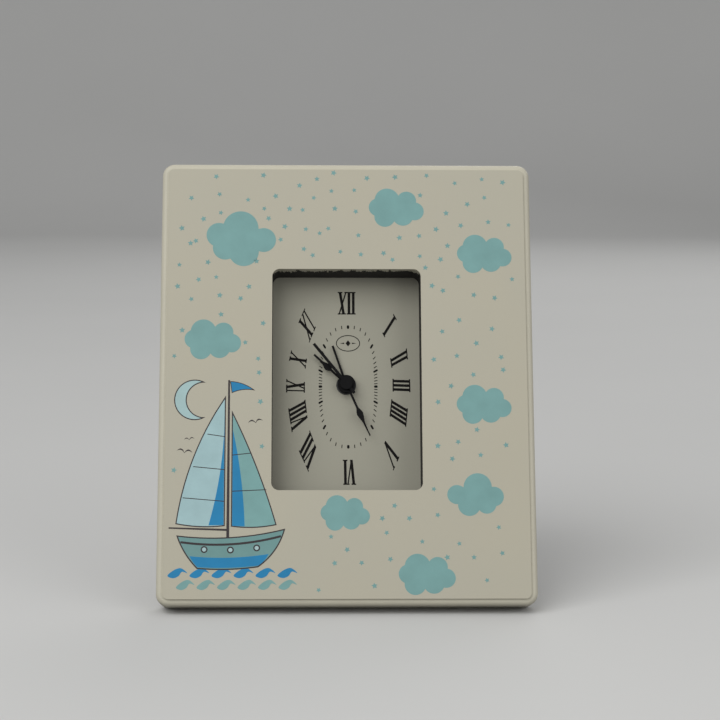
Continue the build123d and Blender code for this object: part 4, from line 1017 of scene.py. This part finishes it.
class CLOCK_OT_back_marks(bpy.types.Operator):
    """Mould the turning arrows and the battery's marks on the movement's back"""
    bl_idname = "clock.back_marks"
    bl_label = "Mould Back Marks"

    def execute(self, context):
        raised = context.scene.clock_sizes.raised / MILLIMETRE
        depth = rear_of("movement_rear_case")
        arrow_radius, arrow_width, half_head, head_length = 7.4, 0.9, 1.5, 2.4
        arrows = []
        for name, first, last in (("time_set_knob", 100, 200), ("alarm_set_knob", -20, 80)):
            knob = seen_from_behind(name)
            arc = [knob + arrow_radius * Vector((cos(radians(angle)), sin(radians(angle))))
                   for angle in range(first, last + 1, 5)]
            along = (arc[-1] - arc[-2]).normalized()
            side = Vector((-along.y, along.x)) * half_head
            arrows.append(draw(band_points(arc, arrow_width)))
            arrows.append(draw([arc[-1] - side, arc[-1] + along * head_length, arc[-1] + side]))
        self.mould(arrows, raised, depth, "moulded_turn_arrows", "frame", "black_raised_marks")
        cover = seen_from_behind("battery_cover")
        plus, minus = cover - Vector((13.0, 0)), cover + Vector((9.0, 0))
        flat, upright, sign_width = Vector((2.2, 0)), Vector((0, 2.2)), 1.0
        signs = [draw(line_points(place - way, place + way, sign_width))
                 for place, way in ((plus, flat), (minus, flat), (plus, upright))]
        self.mould(signs, raised, depth, "moulded_battery_marks", "battery_cover",
                   "black_cover_marks")
        return {"FINISHED"}

    def mould(self, strokes, raised, depth, name, body, finish):
        """Raises strokes as one piece on the movement's back."""
        piece = lay(weld(thicken(join(strokes), -raised, raised)), depth, turned=True)
        finish_piece(piece, name, body, "case_plastic",
                     moulded(finish, (0.05, 0.05, 0.053), (0.3, 0.42)))


class CLOCK_OT_stage(bpy.types.Operator):
    """Set the floor, the backdrop, the lamps and the camera"""
    bl_idname = "clock.stage"
    bl_label = "Set the Stage"

    def execute(self, context):
        studio = context.scene.clock_studio
        floor = self.backdrop(side=6.0, height=3.0, bend=0.9)
        material, tree = new_finish("plain_studio_ground")
        ground = tuple(studio.ground)
        pale = shades(tree, noise(tree, place_on(tree), 0.25, 3.0), ground, 0.99, 1.01)
        # The floor looks pale, and throws less light back up at the clock
        rays = node(tree, "ShaderNodeLightPath").outputs
        seen = sums(tree, "MAXIMUM",
                    sums(tree, "MAXIMUM", rays["Is Camera Ray"], rays["Is Glossy Ray"]),
                    rays["Is Transmission Ray"])
        dress(material, blend(tree, seen, tone(ground, studio.bounce), pale), 0.75, specular=0.2)
        floor.data.materials.append(material)

        for name, power, size, place in (
            ("key_lamp", studio.key_power, 1.7, (-0.9, -1.15, 1.4)),
            ("fill_lamp", studio.fill_power, 1.3, (1.3, -1.3, 0.7)),
            ("back_lamp", 0.8 * studio.fill_power, 1.3, (0.6, 1.5, 1.2)),
        ):
            bpy.ops.object.light_add(type="AREA", location=place)
            lamp = context.object
            lamp.name = name
            lamp.data.energy = power
            lamp.data.size = size
            lamp.rotation_euler = (FACE_CENTRE - Vector(place)).to_track_quat("-Z", "Y").to_euler()

        world = bpy.data.worlds.new("even_sky")
        context.scene.world = world
        world.use_nodes = True
        background = world.node_tree.nodes["Background"].inputs
        background["Color"].default_value = (1.0, 1.0, 1.0, 1.0)
        background["Strength"].default_value = studio.sky

        forward = Vector((cos(studio.pitch) * sin(studio.yaw), cos(studio.pitch) * cos(studio.yaw),
                          -sin(studio.pitch)))
        level_right = forward.cross(Vector((0, 0, 1))).normalized()
        level_up = level_right.cross(forward)
        right = level_right * cos(studio.roll) + level_up * sin(studio.roll)
        axes = Matrix((right, right.cross(forward), -forward)).transposed().to_4x4()
        place = FACE_CENTRE + Vector(studio.camera_place)
        bpy.ops.object.camera_add(location=place)
        camera = context.object
        camera.name = "front_camera"
        camera.matrix_world = Matrix.Translation(place) @ axes
        camera.data.sensor_width = 36.0
        camera.data.lens = studio.lens / MILLIMETRE
        context.scene.camera = camera
        context.scene.view_settings.view_transform = "Standard"
        return {"FINISHED"}

    def backdrop(self, side, height, bend):
        """A square floor that bends up into a wall behind the clock."""
        deselect_all()
        bpy.ops.mesh.primitive_plane_add(size=side, location=(0, 0, 0))
        floor = bpy.context.object
        floor.name = "studio_floor"
        bpy.ops.object.mode_set(mode="EDIT")
        bpy.ops.mesh.select_mode(type="EDGE")
        bpy.ops.mesh.select_all(action="DESELECT")
        bpy.ops.object.mode_set(mode="OBJECT")
        select_edges(floor, lambda corner: corner.y > 0)
        bpy.ops.object.mode_set(mode="EDIT")
        bpy.ops.mesh.extrude_region_move(TRANSFORM_OT_translate={"value": (0, 0, height)})
        bpy.ops.mesh.select_all(action="SELECT")
        bpy.ops.mesh.normals_make_consistent(inside=True)
        bpy.ops.object.mode_set(mode="OBJECT")
        select_edges(floor, lambda corner: corner.y > 0 and corner.z < height / 2)
        bpy.ops.object.mode_set(mode="EDIT")
        bpy.ops.mesh.bevel(offset=bend, segments=16)
        bpy.ops.object.mode_set(mode="OBJECT")
        bpy.ops.object.shade_smooth()
        return floor


class CLOCK_PT_panel(bpy.types.Panel):
    """The clock's steps and settings in the sidebar"""
    bl_idname = "CLOCK_PT_panel"
    bl_label = "Photo Frame Clock"
    bl_space_type = "VIEW_3D"
    bl_region_type = "UI"
    bl_category = "Clock"

    def draw(self, context):
        scene = context.scene
        for step in STEPS:
            self.layout.operator(step.bl_idname)
        for group in (scene.clock_sizes, scene.clock_colours, scene.clock_studio):
            box = self.layout.box()
            for name in group.__annotations__:
                box.prop(group, name)


STEPS = (CLOCK_OT_finishes, CLOCK_OT_clouds, CLOCK_OT_stars, CLOCK_OT_sailboat, CLOCK_OT_gulls,
         CLOCK_OT_waves, CLOCK_OT_moon, CLOCK_OT_numerals, CLOCK_OT_minute_track,
         CLOCK_OT_back_marks, CLOCK_OT_stage)
CLASSES = (PrintSizes, PaintColours, StudioSettings) + STEPS + (CLOCK_PT_panel,)


def register():
    for item in CLASSES:
        bpy.utils.register_class(item)
    bpy.types.Scene.clock_sizes = PointerProperty(type=PrintSizes)
    bpy.types.Scene.clock_colours = PointerProperty(type=PaintColours)
    bpy.types.Scene.clock_studio = PointerProperty(type=StudioSettings)


def unregister():
    del bpy.types.Scene.clock_sizes, bpy.types.Scene.clock_colours, bpy.types.Scene.clock_studio
    for item in reversed(CLASSES):
        bpy.utils.unregister_class(item)


def main():
    """Builds the dressed clock on its stage."""
    register()
    for step in STEPS:
        group, name = step.bl_idname.split(".")
        getattr(getattr(bpy.ops, group), name)()


if __name__ == "__main__":
    main()
